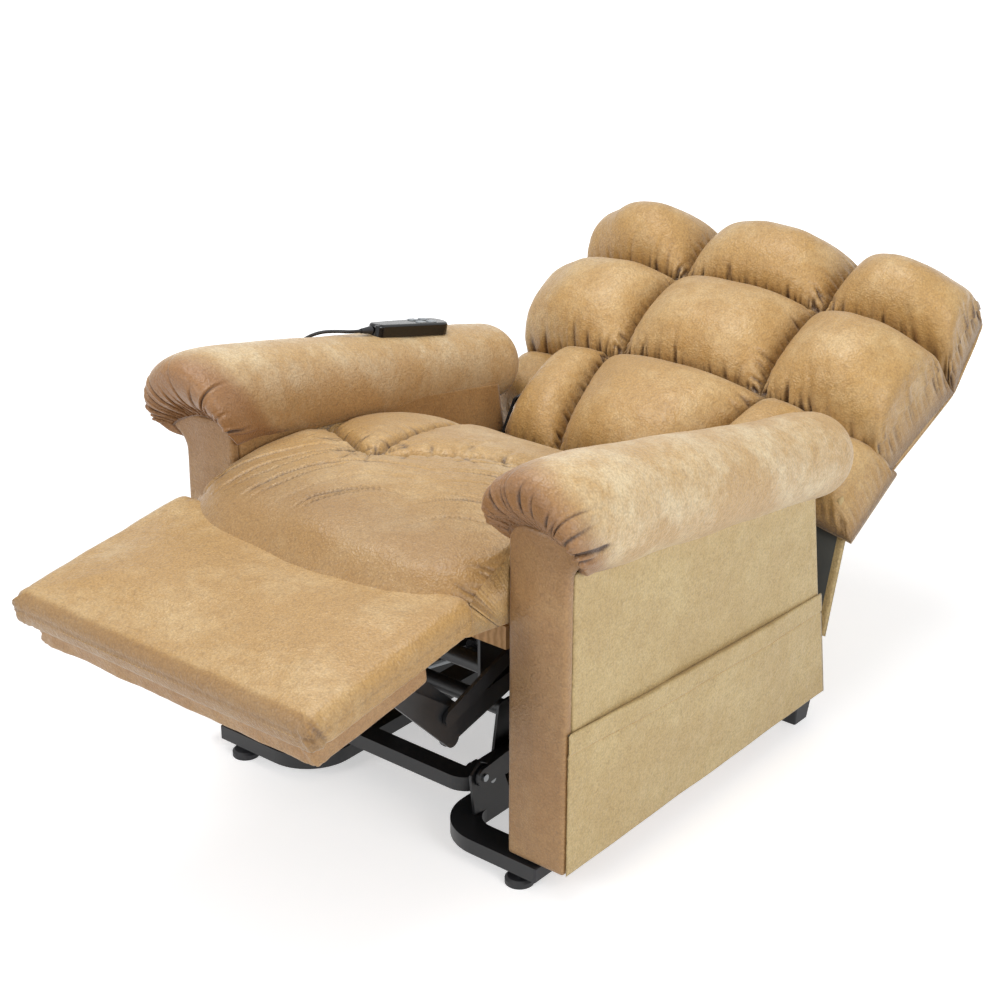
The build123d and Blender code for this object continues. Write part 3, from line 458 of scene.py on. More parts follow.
# %% Measures of a roll
roll_middle = 352.0
roll_start, roll_end = -72.0, 770.0
roll_fall = math.radians(10.4)
bulb_radius, tail_radius, nose_radius = 91.0, 71.0, 70.0
roll_height = 626.0                  # of the roll's axis, above the front of the arm
bulb_run = 165.0                     # along the roll, from its nose to where the bulb ends
bulb_centre = np.array([348, 0, 590.0])
bulb_spread, bulb_throw = (34, 0, 36), (0, -85, 62)    # how threads leave the seam
inner_turn, outer_turn = math.radians(204), math.radians(-40)
arch_seam = np.array([
    (281, -1, 585), (287, -2, 597), (302, -2, 605), (325, -2, 608), (350, -2, 605), (375, -2, 597),
    (397, -2, 586), (414, -1, 573)], float)
hidden_seam = np.array([
    (414, -1, 573), (398, 14, 552), (386, 26, 545), (340, 30, 545), (292, 22, 556), (281, -1, 585)])
roll_length = (roll_end - roll_start) / math.cos(roll_fall)


def roll_ring(run, radius, turn):
    """Points of the roll at a distance along its axis from the nose."""
    lift = radius * np.sin(turn)
    x = roll_middle + radius * np.cos(turn)
    y = roll_start + run * math.cos(roll_fall) + lift * math.sin(roll_fall)
    z = (roll_height - roll_start * math.tan(roll_fall) - run * math.sin(roll_fall)
         + lift * math.cos(roll_fall))
    return np.stack(np.broadcast_arrays(x, y, z), -1)


def roll_radius(run):
    """The roll tapers from its bulb to its tail."""
    share = np.clip((run - nose_radius) / (roll_length - tail_radius - nose_radius), 0, 1)
    return bulb_radius + (tail_radius - bulb_radius) * share ** 0.92


print("roll", round(roll_length), "mm long, radius", bulb_radius, "to", tail_radius, "mm")

# %% [markdown]
# Each thread of the bulb is a cubic curve: it starts on the seam, its first handle throws
# it up and forwards, and its last one brings it in line with the roll. The gathers are then
# pressed in along the threads, deepest near the seam.

# %% Arm rolls
def make_roll(side, word, seed):
    """One arm roll; side is 1 for the left arm and -1 for the right."""
    # round the roll: the visible columns start at the arch, the others inside the arm
    shown = np.linspace(inner_turn, outer_turn, 250)
    unseen = np.linspace(outer_turn, inner_turn - 2 * math.pi, 72)[1:-1]
    turn = np.concatenate([shown, unseen])
    seam = fair_curve(arch_seam, len(shown))
    seam_length = np.linalg.norm(np.diff(seam, axis=0), axis=1).sum()
    loop = np.concatenate([seam, fair_curve(hidden_seam, len(unseen) + 2)[1:-1]])
    # the bulb: every thread leaves the seam upwards, turns over and runs into the roll
    end = roll_ring(bulb_run, roll_radius(bulb_run), turn)
    axis = np.array([0, math.cos(roll_fall), -math.sin(roll_fall)])
    radial = (loop - bulb_centre) * (1, 0, 1)
    radial /= np.linalg.norm(radial, axis=-1, keepdims=True)
    arc = np.sin(math.pi * np.linspace(0, 1, len(shown))) ** 0.8
    hidden = np.sin(math.pi * np.linspace(0, 1, len(unseen) + 2))[1:-1]
    forwards = np.concatenate([0.4 + 0.6 * arc, 0.4 * (1 - hidden) - 0.5 * hidden])[:, None]
    outwards = radial * bulb_spread * smoothstep(forwards / 0.3 + 0.2) + forwards * bulb_throw
    reach = np.where(forwards > 0, 60 + 120 * forwards, 40)
    t = (np.linspace(0, 1, 96) ** 1.25)[:, None, None]
    bulb = ((1 - t) ** 3 * loop + 3 * (1 - t) ** 2 * t * (loop + outwards)
            + 3 * (1 - t) * t ** 2 * (end - reach * axis) + t ** 3 * end)
    # nothing unseen stands out of the front panel
    inmost = 7 * hidden - 60 * (1 - smoothstep(hidden / 0.3))
    bulb[:, len(shown):, 1] = np.maximum(bulb[:, len(shown):, 1], inmost)
    stopper = np.array([345, 24, 574.0])
    cap = stopper + (loop - stopper) * np.array([0.004, 0.5])[:, None, None]
    tail_run = roll_length - tail_radius
    runs = np.concatenate([np.arange(bulb_run + 3, 300, 3.2), np.linspace(304, tail_run, 70)])
    tube = np.stack([roll_ring(run, roll_radius(run), turn) for run in runs])
    rounding = np.linspace(0, math.pi / 2, 26)[1:]
    tail = np.stack([roll_ring(tail_run + tail_radius * math.sin(a),
                               max(tail_radius * math.cos(a), 0.2), turn) for a in rounding])
    chair = np.concatenate([cap, bulb, tube, tail])
    rows, columns = chair.shape[:2]

    closed = np.concatenate([chair, chair[:, :1]], axis=1)
    core_y = np.maximum(closed[..., 1], 60)
    core = np.stack([roll_middle + 0 * core_y, core_y, roll_height - core_y * math.tan(roll_fall)], -1)
    outward = outward_normals(closed, closed - core)[:, :-1]
    step = np.linalg.norm(np.diff(chair, axis=0), axis=-1)
    away = np.concatenate([np.zeros((1, columns)), np.cumsum(step, axis=0)]) - step[:2].sum(0)
    away = np.maximum(away, 0)
    travel = np.ones((rows, 1)) * np.concatenate([np.linspace(0, seam_length, len(shown)),
                                                  np.linspace(seam_length, 0, len(unseen))])
    visible = np.concatenate([np.ones(len(shown)), np.zeros(len(unseen))])
    from_end = np.minimum(np.arange(columns), len(shown) - np.arange(columns))
    visible = visible * smoothstep(from_end / 5 + 0.2)
    folds = gathers(travel, away, seed, 4.6, 58, 4.6, 0.85, 0.05)
    folds += gathers(travel, away, seed + 1, 9.0, 150, 8.6, 1.15, 0.07)
    folds *= visible * (away > 0)
    plump = 6.0 * ridge(away - 58, 36) * visible
    slow = unevenness(chair / 1000, 240, seed + 2) * 2.0 + unevenness(chair / 1000, 90, seed + 3) * 0.5
    ends = smoothstep(np.minimum(np.arange(rows) - 2, rows - 1 - np.arange(rows)) / 8)[:, None]
    chair = chair + outward * (slow * ends + (plump - folds) * smoothstep(away / 4))[..., None]
    # painted shade on the side of the roll that faces the seat
    inner_side = 0.5 * smoothstep((roll_middle - 30 - chair[..., 0]) / 60)
    # painted brown shade over the gathered face, further over the top than outside, and painted shade in the
    # folds and along the seam
    shade_reach = 190 - 66 * smoothstep(travel / seam_length * 1.4 - 0.4)
    marks = {"brown_shade": np.maximum(0.95 * smoothstep((shade_reach - away) / 80), inner_side),
             "fold_shade": 0.92 * smoothstep((folds - 1.1) / 3.2) + 0.4 * smoothstep(1 - away / 5)}
    points = to_frame(chair[..., 0] * side, chair[..., 1], chair[..., 2])
    piece = mesh_piece("arm_roll_cover_" + word, points, weave_faces(rows, columns, ring=True), marks)
    return finish_piece(piece, arm_lit_hide, "chair_frame", "upholstery", word + "_arm_roll", fill=0.8)


sides = ((1, "left"), (-1, "right"))
rolls = [make_roll(side, word, seed) for (side, word), seed in zip(sides, (11, 23))]
print("arm rolls:", [len(roll.data.vertices) for roll in rolls], "vertices")

# %% [markdown]
# ## Padded panels
# The front panels are boards with thin foam under the cover, so their edges are soft and
# their faces slightly full. The panel from the frame has sharp edges; a copy of it is
# rebuilt as an even skin of small cells and smoothed, which rounds each edge.

# %% Front panels
def even_skin(node, name, cell, passes):
    """A copy of a frame node, remade in even cells of that size in mm, then smoothed."""
    source = frame["nodes"][node].data.copy()
    body = bmesh.new()
    body.from_mesh(source)
    bmesh.ops.remove_doubles(body, verts=body.verts, dist=1e-5)
    body.to_mesh(source)
    body.free()
    source.materials.clear()
    rough = add_object(name + "_rough", source)
    cells = rough.modifiers.new("cells", "REMESH")
    cells.mode, cells.voxel_size = "VOXEL", cell / 1000
    smooth = rough.modifiers.new("smooth", "SMOOTH")
    smooth.factor, smooth.iterations = 0.5, passes
    bpy.context.view_layer.update()
    mesh = bpy.data.meshes.new_from_object(rough.evaluated_get(bpy.context.evaluated_depsgraph_get()))
    bpy.data.objects.remove(rough)
    mesh.name = name
    mesh.polygons.foreach_set("use_smooth", [True] * len(mesh.polygons))
    for old in [a.name for a in mesh.attributes if a.name.startswith("custom_normal")]:
        mesh.attributes.remove(mesh.attributes[old])
    return add_object(name, mesh)


def move_points(piece, spots):
    """Put the vertices of a piece at these points, in frame metres."""
    piece.data.vertices.foreach_set("co", np.asarray(spots, np.float32).ravel())
    piece.data.update()


for side, word in sides:
    panel = even_skin(word + "_front_panel", "front_panel_cover_" + word, 4.0, 5)
    spots = positions(panel)
    low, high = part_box(word + "_front_panel")
    centre = (abs(spots[:, 0]) * 1000 - arm_inside) / (arm_outside - arm_inside)
    full = smoothstep(1 - np.abs(2 * centre - 1)) * smoothstep((spots[:, 2] - low.z) / 0.05)
    forward = smoothstep((high.y - spots[:, 1]) / (high.y - low.y))
    spots[:, 1] -= forward * (full * 0.004 + 0.0008 * unevenness(spots, 120, 31))
    move_points(panel, spots)
    # painted brown shade over the panel, stronger towards its top under the bulb of the roll
    mark(panel.data, "brown_shade", 0.35 + 0.25 * smoothstep((spots[:, 2] - 0.45) / 0.15))
    finish_piece(panel, front_shaded_hide, "chair_frame", "panel_upholstery", word + "_front_panel", fill=0.3)
print("front panels covered")

# %% [markdown]
# ## Side panels
# The outside of an arm is cloth over board: flat, with edges turned over the board. It
# could be a rounded box, but a grid that follows the sloping edges also takes the pull of
# the cloth, and the pocket can be made the same way.

# %% Side panels
seam_fall = math.radians(7.4)
panel_low, panel_rear = 51.0, 741.0


def rear_edge(height):
    """Rear edge of an arm at a height."""
    return panel_rear - 60 * (height - panel_low) / 401.0


def cloth_over_board(name, side, low, top_of, front, depth_of, back_x, rows=70, columns=120):
    """A closed thin panel whose outer face stands at depth_of from the arm."""
    across, up = np.meshgrid(np.linspace(0, 1, columns), np.linspace(0, 1, rows), indexing="ij")
    guess = low + up * (top_of(300.0) - low)
    y = front + across * (rear_edge(guess) - front)
    z = low + up * (top_of(y) - low)
    depth = depth_of(across, up, y, z)
    outside = to_frame(side * depth, y, z)
    inside = to_frame(side * back_x, y, z)
    return closed_pad(name, outside, inside)


def board_ripple(y, z, wave, seed):
    """How a cover is pulled over a board that stands along the chair."""
    return unevenness(np.stack([0 * y, y, z], -1) / 1000, wave, seed)


def side_depth(across, up, y, z):
    """The arm's outside, rounded over the edges of its board."""
    edge = np.minimum(np.minimum(across, 1 - across) * 700, np.minimum(up * 480, 60)) / 7
    pulled = 1.2 * board_ripple(y, z, 170, 41)
    return arm_outside - 3 + 3 * smoothstep(edge) + pulled * smoothstep(edge) * 0.8


def seam_height(y):
    """Where the side panel meets the arm roll."""
    return 541.0 - y * math.tan(seam_fall)


for side, word in sides:
    panel = cloth_over_board("side_panel_cover_" + word, side, panel_low,
                             lambda y: seam_height(y) + 10, 17, side_depth, arm_outside - 5.6)
    finish_piece(panel, side_hide, "chair_frame", "panel_upholstery", word + "_outer_panel")
print("side panels covered, up to", round(seam_height(0)), "mm in front")

# %% [markdown]
# ## Stitches
# A sewn line is a row of short rods of bonded thread that dip into the cover at both ends.
# A dashed texture would lie flat; rods catch the light as thread does.

# %% Stitches
def stitches(name, line, body, slot, finish, length=4.6, gap=2.0, thick=0.55):
    """A row of sewn stitches: short rods of thread that follow a line of points, in mm."""
    walked = walk(line)
    points, faces = [], []
    for start in np.arange(0, walked[-1] - length, length + gap):
        ends = points_at(line, walked, (start, start + length))
        ahead = (ends[1] - ends[0]) / length
        beside = np.cross(ahead, (0.3, 0.2, 0.9))
        beside /= np.linalg.norm(beside)
        above = np.cross(beside, ahead)
        first = len(points)
        for share, size in ((0, 0.35), (0.2, 1), (0.8, 1), (1, 0.35)):
            centre = ends[0] + (ends[1] - ends[0]) * share
            for corner in range(5):
                turn = corner * math.tau / 5
                points.append(centre + size * thick * (beside * math.cos(turn) + above * math.sin(turn)))
        faces += [(first + i * 5 + j, first + i * 5 + (j + 1) % 5, first + (i + 1) * 5 + (j + 1) % 5,
                   first + (i + 1) * 5 + j) for i in range(3) for j in range(5)]
        faces += [tuple(first + j for j in range(4, -1, -1)), tuple(first + 15 + j for j in range(5))]
    points = np.array(points)
    piece = mesh_piece(name, to_frame(*points.T), faces)
    return finish_piece(piece, finish, body, slot)


thread = coated("bonded_nylon_thread", "#c9a878", 0.6, 0.5, 0.1, second="#b8935f")
print("thread ready:", thread.name)

# %% [markdown]
# ## Side pockets
# A second layer, sewn to the side panel at the front, rear and lower edges, makes the
# pocket. Its mouth runs down towards the rear, has a stitched hem, and bellies out a
# little in the middle, because nothing holds it there.

# %% Side pockets
mouth_fall = math.radians(3.25)
pocket_front, hem_drop = 4, 37.0


def mouth_height(y):
    """The mouth of the pocket runs down towards the rear."""
    return 293.0 - y * math.tan(mouth_fall)


def pocket_depth(across, up, y, z):
    """The pocket bellies out in the middle and has a hem and a lip along its mouth."""
    held = np.minimum(across, 1 - across) * 700
    belly = smoothstep(held / 210) * smoothstep(up * 1.35)
    mouth = mouth_height(y) - z
    hem = 1.3 * smoothstep((hem_drop - mouth) / 3) - 1.1 * ridge(mouth - hem_drop, 2.2)
    lip = -2.2 * smoothstep(1 - mouth / 3.0)
    pulled = board_ripple(y, z, 130, 43)
    return arm_outside + 3.2 + 7.2 * belly + hem + lip + pulled * smoothstep(held / 30)


for side, word in sides:
    pocket = cloth_over_board("side_pocket_" + word, side, panel_low, mouth_height, pocket_front,
                              pocket_depth, arm_outside + 0.5, rows=110)
    spots = positions(pocket)
    # its back lies flat on the side panel
    behind = np.abs(spots[:, 0]) * 1000 < arm_outside + 1.0
    spots[behind, 0] = side * (arm_outside + 0.6) / 1000
    move_points(pocket, spots)
    finish_piece(pocket, side_hide, "chair_frame", "panel_upholstery")
    # the hem stitches run along the mouth at the hem's seam, just proud of the pocket
    y = np.linspace(10, 698, 90)
    z = mouth_height(y) - hem_drop
    up = (z - panel_low) / (mouth_height(300.0) - panel_low)
    across = (y - pocket_front) / (rear_edge(z) - pocket_front)
    x = pocket_depth(across, up, y, z) + 0.4
    stitches("pocket_hem_stitching_" + word, np.stack([side * x, y, z], -1), "chair_frame",
             "panel_upholstery", thread)
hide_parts("side_pockets")
print("pocket mouth", round(mouth_height(0)), "to", round(mouth_height(700)), "mm")

# %% [markdown]
# The inside of an arm is covered the same way, in a darker copy of the cover that paints in the shade of the
# roll above it.

# %% Inner panels
def inner_depth(across, up, y, z):
    """The arm's inside, rounded over its front and rear edges."""
    edge = np.minimum(across, 1 - across) * 680 / 9
    return arm_inside + 3 - 3 * smoothstep(edge) + 0.8 * board_ripple(y, z, 150, 47)


def under_roll(y):
    """The inner panel ends inside the arm roll."""
    return 604 - y * math.tan(roll_fall)


inner_pieces = [finish_piece(
    cloth_over_board("inner_panel_cover_" + word, side, 302.0, under_roll, 17, inner_depth,
                     arm_inside + 12),
    inner_shaded_hide, "chair_frame", "panel_upholstery") for side, word in sides]
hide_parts("arm_inner_panels")
print("inner panels covered:", [piece.name for piece in inner_pieces])

# %% [markdown]
# ## The pillow back
# Nine pillows and two flat wings cover the back. Each is a fat dome over a rim: the rim
# runs along the seams, the dome rises steeply from it and is nearly level on top. Points
# crowd towards the rim, where the cover turns down and its puckers are.

# %% One pillow
back_lean = math.radians(27)
back_seam = (856.0, 516.0)
pillow_sole = -57.0                  # height of the pillows' undersides, inside the shell


def tilted(origin, lean, x, along, out):
    """Points of a tilted board: x, the distance up the board and the height out of it."""
    x, along, out = np.broadcast_arrays(np.asarray(x, float), along, out)
    y = origin[0] + along * math.cos(lean) - out * math.sin(lean)
    z = origin[1] + along * math.sin(lean) + out * math.cos(lean)
    return x, y, z


def back_spot(x, along, out):
    """Points on the back, measured up it from the seam with the seat."""
    return tilted(back_seam, back_lean, x, along, out)


def make_pillow(name, corners, rims, crown, seed, node, pucker, counts=(132, 104), fullness=2.5,
                belly=(0, 0)):
    """A pillow over four corners (x, along), with the rim height at each corner.

    Corners and rims run inner-low, outer-low, outer-high, inner-high. pucker gives the
    fold depth at the low, outer, high and inner rims, belly how far the dome hangs over
    the outer and the high rim, and a higher fullness a flatter top.
    """
    across, up = np.meshgrid(even_sine(counts[0]), even_sine(counts[1]), indexing="ij")
    a, b = (across + 1) / 2, (up + 1) / 2
    weights = ((1 - a) * (1 - b), a * (1 - b), a * b, (1 - a) * b)
    x = sum(w * c[0] for w, c in zip(weights, corners))
    along = sum(w * c[1] for w, c in zip(weights, corners))
    rim = sum(w * r for w, r in zip(weights, rims))
    dome = (1 - np.abs(across) ** fullness) ** 0.5 * (1 - np.abs(up) ** fullness) ** 0.5
    side = math.copysign(1, corners[1][0] - corners[0][0])
    x = x + side * belly[0] * ridge(a - 0.9, 0.075) * dome ** 0.5
    along = along + belly[1] * ridge(b - 0.92, 0.07) * dome ** 0.5
    out = rim + (crown - rim) * dome
    width = abs(corners[1][0] - corners[0][0])
    depth = abs(corners[2][1] - corners[0][1])
    grid = np.stack(back_spot(x, along, out), -1)
    outward = outward_normals(grid, np.array([0, -math.sin(back_lean), math.cos(back_lean)]))
    walk_x, walk_up = a * width, b * depth
    # distances from each rim, measured over the dome
    from_low, from_high = b * depth + 26 * dome, (1 - b) * depth + 26 * dome
    from_in, from_out = a * width + 26 * dome, (1 - a) * width + 26 * dome
    folds = gathers(walk_x, from_low, seed, 9.5, 44, 0.85 * pucker[0], 2.6)
    folds += gathers(walk_x, from_low, seed + 6, 26, 84, 0.6 * pucker[0], 4.2)
    folds += gathers(walk_up, from_out, seed + 1, 12, 52, pucker[1], 3.2)
    folds += gathers(walk_x, from_high, seed + 2, 14, 34, pucker[2], 3.2)
    folds += gathers(walk_up, from_in, seed + 3, 11, 38, pucker[3], 2.8)
    inner = smoothstep(np.minimum.reduce([1 - np.abs(across), 1 - np.abs(up)]) * 30)
    slow = 3.2 * unevenness(grid / 1000, 210, seed + 4) + 0.9 * unevenness(grid / 1000, 70, seed + 5)
    raised = (slow * dome ** 2 - folds) * inner
    grid = grid + outward * raised[..., None]
    top = to_frame(*np.moveaxis(grid, -1, 0))
    sole = np.minimum(rim - 4, pillow_sole)
    underside = to_frame(*back_spot(x, along, rim + (sole - rim) * smoothstep(inner * 4)))
    # painted shade in the folds and where the cover turns down at the rim, and painted brown shade round the
    # rim
    marks = {"fold_shade": 0.7 * smoothstep((folds - 1.0) / 4) * inner + 0.5 * smoothstep(1 - dome * 4),
             "brown_shade": 0.45 * smoothstep(1 - dome * 1.6)}
    piece = closed_pad(name, top, underside, marks)
    return finish_piece(piece, seat_hide, "backrest", "upholstery", *([node] if node else []), fill=0.85)


print("back leans", round(math.degrees(back_lean)), "degrees from level")

# %% [markdown]
# The pillows meet along the seams of the columns and rows, so neighbours share corners.
# The outer ones fall away to the sides. Those of the right are mirror images of the left
# in size, and have folds of their own, as sewn pillows do.

# %% The pillows
column, outer_edge, lumbar_seam = 151.0, 408.0, 172.0
row_high, top_high, row_low = 219.0, 386.0, -256
valley = -16.0
pillows = [
    make_pillow(
        "back_pillow_middle_centre",
        [(-column, 0), (column, 0), (column, row_high), (-column, row_high)],
        [valley] * 4, 84, 101, "middle_pillow_centre", (5.0, 3.6, 2.4, 3.6)),
    make_pillow(
        "back_pillow_top_centre",
        [(-column, row_high), (column, row_high), (column + 4, top_high), (-column - 4, top_high)],
        [valley, valley, -88, -88], 80, 131, "top_pillow_centre", (5.2, 3.6, 3.0, 3.6), belly=(0, 8))]


def add_side_pillows(*kinds):
    """Each kind of pillow on the left, then each on the right, as its mirror image."""
    for side, word in sides:
        for name, corners, rims, crown, seed, node, pucker, form in kinds:
            pillows.append(make_pillow(
                name + word, [(side * x, along) for x, along in corners], rims, crown,
                seed + side * 7, node and node + word, pucker, **form))


add_side_pillows(
    ("back_pillow_middle_",
     [(column, 0), (outer_edge - 22, -22), (outer_edge - 8, row_high), (column, row_high)],
     [valley, -130, -132, valley], 74, 151, "middle_pillow_", (6.0, 5.0, 2.4, 3.6),
     {"belly": (28, 0), "fullness": 3.0}),
    ("back_pillow_top_",
     [(column, row_high), (outer_edge - 8, row_high), (outer_edge - 24, top_high - 16),
      (column + 4, top_high)],
     [valley, -132, -102, -88], 74, 181, "top_pillow_", (5.6, 5.6, 3.8, 3.6),
     {"belly": (32, 12), "fullness": 2.4}))
pillows.append(make_pillow(
    "back_pillow_lumbar_centre",
    [(-lumbar_seam + 44, row_low), (lumbar_seam - 44, row_low), (lumbar_seam, 0), (-lumbar_seam, 0)],
    [-30, -30, valley, valley], 82, 211, "lumbar_pillow", (3.0, 3.6, 3.0, 3.6)))
# the wing below an outer pillow is flat wadding, drawn into pleats at its upper edge
add_side_pillows(
    ("back_pillow_lumbar_",
     [(lumbar_seam - 44, row_low), (266, row_low), (270, 0), (lumbar_seam, 0)],
     [-30, -56, -50, valley], 46, 231, None, (3.0, 5.0, 5.6, 6.0),
     {"counts": (90, 120), "fullness": 3.0}),
    ("back_wing_", [(232, -152), (394, -150), (402, 6), (232, 6)],
     [-90, -146, -128, -60], -22, 251, None, (2.0, 3.0, 6.5, 3.0),
     {"counts": (90, 90), "fullness": 3.4}))
print("pillows:", len(pillows), "with", sum(len(p.data.vertices) for p in pillows), "vertices")

# %% [markdown]
# ## The seat
# The chaise seat is one thick cushion. A curved cross seam and a short tuft divide it, its
# nose rolls over the rear of the footrest, and the cover is drawn into creases that
# spread from the seam. A profile from rear to nose is swept across and lowered at the arms.

# %% Seat cushion
seat_half = 277.0
rest_lean = math.radians(8.7)        # of the footrest, which the nose of the seat lies on
seat_profile = np.array([
    (572, 352), (574, 398), (545, 425), (480, 468), (350, 522), (210, 549), (60, 557), (-30, 541),
    (-78, 514), (-101, 488), (-98, 462), (-78, 450)], float)
tuft_x, tuft_y = -104, 134
cross_seam = np.array([
    (-277, 214, 545), (-223, 190, 553), (-160, 156, 556), (-104, 134, 556), (-40, 180, 552),
    (58, 246, 543), (160, 300, 532), (277, 330, 520)], float)


def make_seat():
    """The seat cushion, swept from the rear over the top to the underside of its nose."""
    profile = fair_curve(seat_profile, 330)
    across = even_sine(250)
    x = (across * seat_half)[None, :] * np.ones((len(profile), 1))
    y = profile[:, 0][:, None] * np.ones_like(x)
    z = profile[:, 1][:, None] * np.ones_like(x)
    high = smoothstep((z - 440) / 60)
    hump = (1 - np.abs(across) ** 2.4)[None, :]
    nose = (1 - np.abs(across) ** 8)[None, :]
    swell = 24 * smoothstep((y + 130) / 120) * smoothstep((620 - y) / 260)
    z = z + (hump * (swell + 2) - 2) * high
    z = z - 7 * high * smoothstep((np.abs(across) - 0.95) / 0.05)[None, :]
    # the nose bows forward over the rear of the footrest and lies on it
    y = y - (46 * nose + 28 * hump) * smoothstep((44 - y) / 96)
    rest_height = 507.5 + np.minimum(y + 88, 0) * math.tan(rest_lean)
    z = np.where((y < -84) & (z < rest_height) & (z > 470), rest_height, z)
    grid = np.stack([x, y, z], -1)
    outward = outward_normals(grid, (grid - (0, 230, 380.0)) * (0, 1, 1))
    line = fair_curve(cross_seam, 90)
    flat_grid = grid * (1, 1, 0)
    flat_line = line * (1, 1, 0)
    away, travel = near_line(flat_grid, flat_line)
    ahead = np.interp(x, flat_line[:, 0], flat_line[:, 1]) > y
    groove = 15 * ridge(away, 9) + 10 * ridge(away, 34)
    rear_line = np.array([(-104, 134, 0), (-120, 240, 0), (-128, 380, 0), (-130, 520, 0)], float)
    rear_away, rear_travel = near_line(flat_grid, rear_line)
    groove += (13 * ridge(rear_away, 8) + 7 * ridge(rear_away, 30)) * (~ahead)
    spread = np.degrees(np.arctan2(y - tuft_y, x - tuft_x))
    reach = np.hypot(x - tuft_x, y - tuft_y)
    pinch = ridge(reach, 20)
    top = high * smoothstep((y + 120) / 60)
    folds = gathers(travel, away, 301, 17, 95, 4.0, 4.4, 0.6) * np.where(ahead, 1.0, 0.6) * top
    folds += gathers(rear_travel, rear_away, 303, 20, 46, 3.0, 4.0) * (~ahead) * top
    folds += gathers(spread * 1.6, reach, 305, 20, 130, 3.2, 4.0, 0.2) * top * smoothstep(reach / 18)
    # long lazy creases across the front lobe, where the seat bends over the rail
    for centre_x, centre_y, first_angle, seed, length in (
            (90, -110, 160, 307, 300), (240, -70, 112, 309, 170)):
        from_centre = np.hypot(x - centre_x, y - centre_y)
        angle = np.degrees(np.arctan2(y - centre_y, x - centre_x)) % 360
        round_arc = np.abs(angle - first_angle) * math.pi / 180 * from_centre
        creases = gathers(from_centre, round_arc, seed, 33, length, 3.8, 2.3, 0.1)
        within = smoothstep((from_centre - 90) / 40) * smoothstep((390 - from_centre) / 40)
        folds += creases * top * ahead * within
    # pleats where the nose is drawn down to the arms
    side_gap = (1 - np.abs(across))[None, :] * seat_half
    pleats = gathers(z + y * 0.5, side_gap + 0 * z, 311, 15, 40, 3.0, 3.4, 0.5)
    folds += pleats * smoothstep((10 - y) / 50) * high
    slow = 3.0 * unevenness(grid / 1000, 230, 313) + 1.0 * unevenness(grid / 1000, 80, 315)
    grid = grid + outward * (~edge_of(x) * (slow - folds - groove * top - 8 * pinch * top))[..., None]
    skin = to_frame(*np.moveaxis(grid, -1, 0))
    share = np.linspace(0, 1, len(profile))[:, None] * np.ones_like(x)
    floor_y = profile[0, 0] + (profile[-1, 0] - profile[0, 0]) * share
    floor_z = profile[0, 1] + (profile[-1, 1] - profile[0, 1]) * share
    base = to_frame(x, floor_y, floor_z)
    # painted shade along the seams and in the folds, and painted brown shade over the nose
    seams = ridge(away, 5) + ridge(rear_away, 5) * (~ahead)
    marks = {"fold_shade": (0.5 * seams + 0.75 * smoothstep((folds - 0.8) / 3.4)) * top,
             "brown_shade": 0.6 * smoothstep((90 - y) / 170) * high}
    piece = closed_pad("seat_cushion_cover", skin, base, marks)
    return finish_piece(piece, seat_hide, "chair_frame", "upholstery", "seat_cushion", fill=0.75)


seat = make_seat()
print("seat cushion:", len(seat.data.vertices), "vertices")

# %% [markdown]
# ## The footrest
# The footrest is foam on a board. Its cover is boxed: a top, and a border sewn to it with
# a line of stitches along the front and sides, pleated at the front corners. A second
# board below it hides the linkage when the footrest is folded. Both start from the frame's
# own solids, remade in small cells, so that they fit the hinges and rails they ride on.

# %% Footrest pad
rest_line = (-88.0, 503.0)


def rest_spot(x, ahead, out):
    """Points on the footrest, measured forwards from its rear edge."""
    return tilted(rest_line, rest_lean, x, -ahead, out)


def rest_place(spots):
    """x, distance ahead and height on the footrest of points in frame metres."""
    y = spots[:, 1] * 1000 - arm_front - rest_line[0]
    z = spots[:, 2] * 1000 - rest_line[1]
    ahead = -y * math.cos(rest_lean) - z * math.sin(rest_lean)
    out = -y * math.sin(rest_lean) + z * math.cos(rest_lean)
    return spots[:, 0] * 1000, ahead, out


rest_long, rest_half = 341.0, 298.0       # of the pad
board_long, board_half = 334, 288         # of the board below it


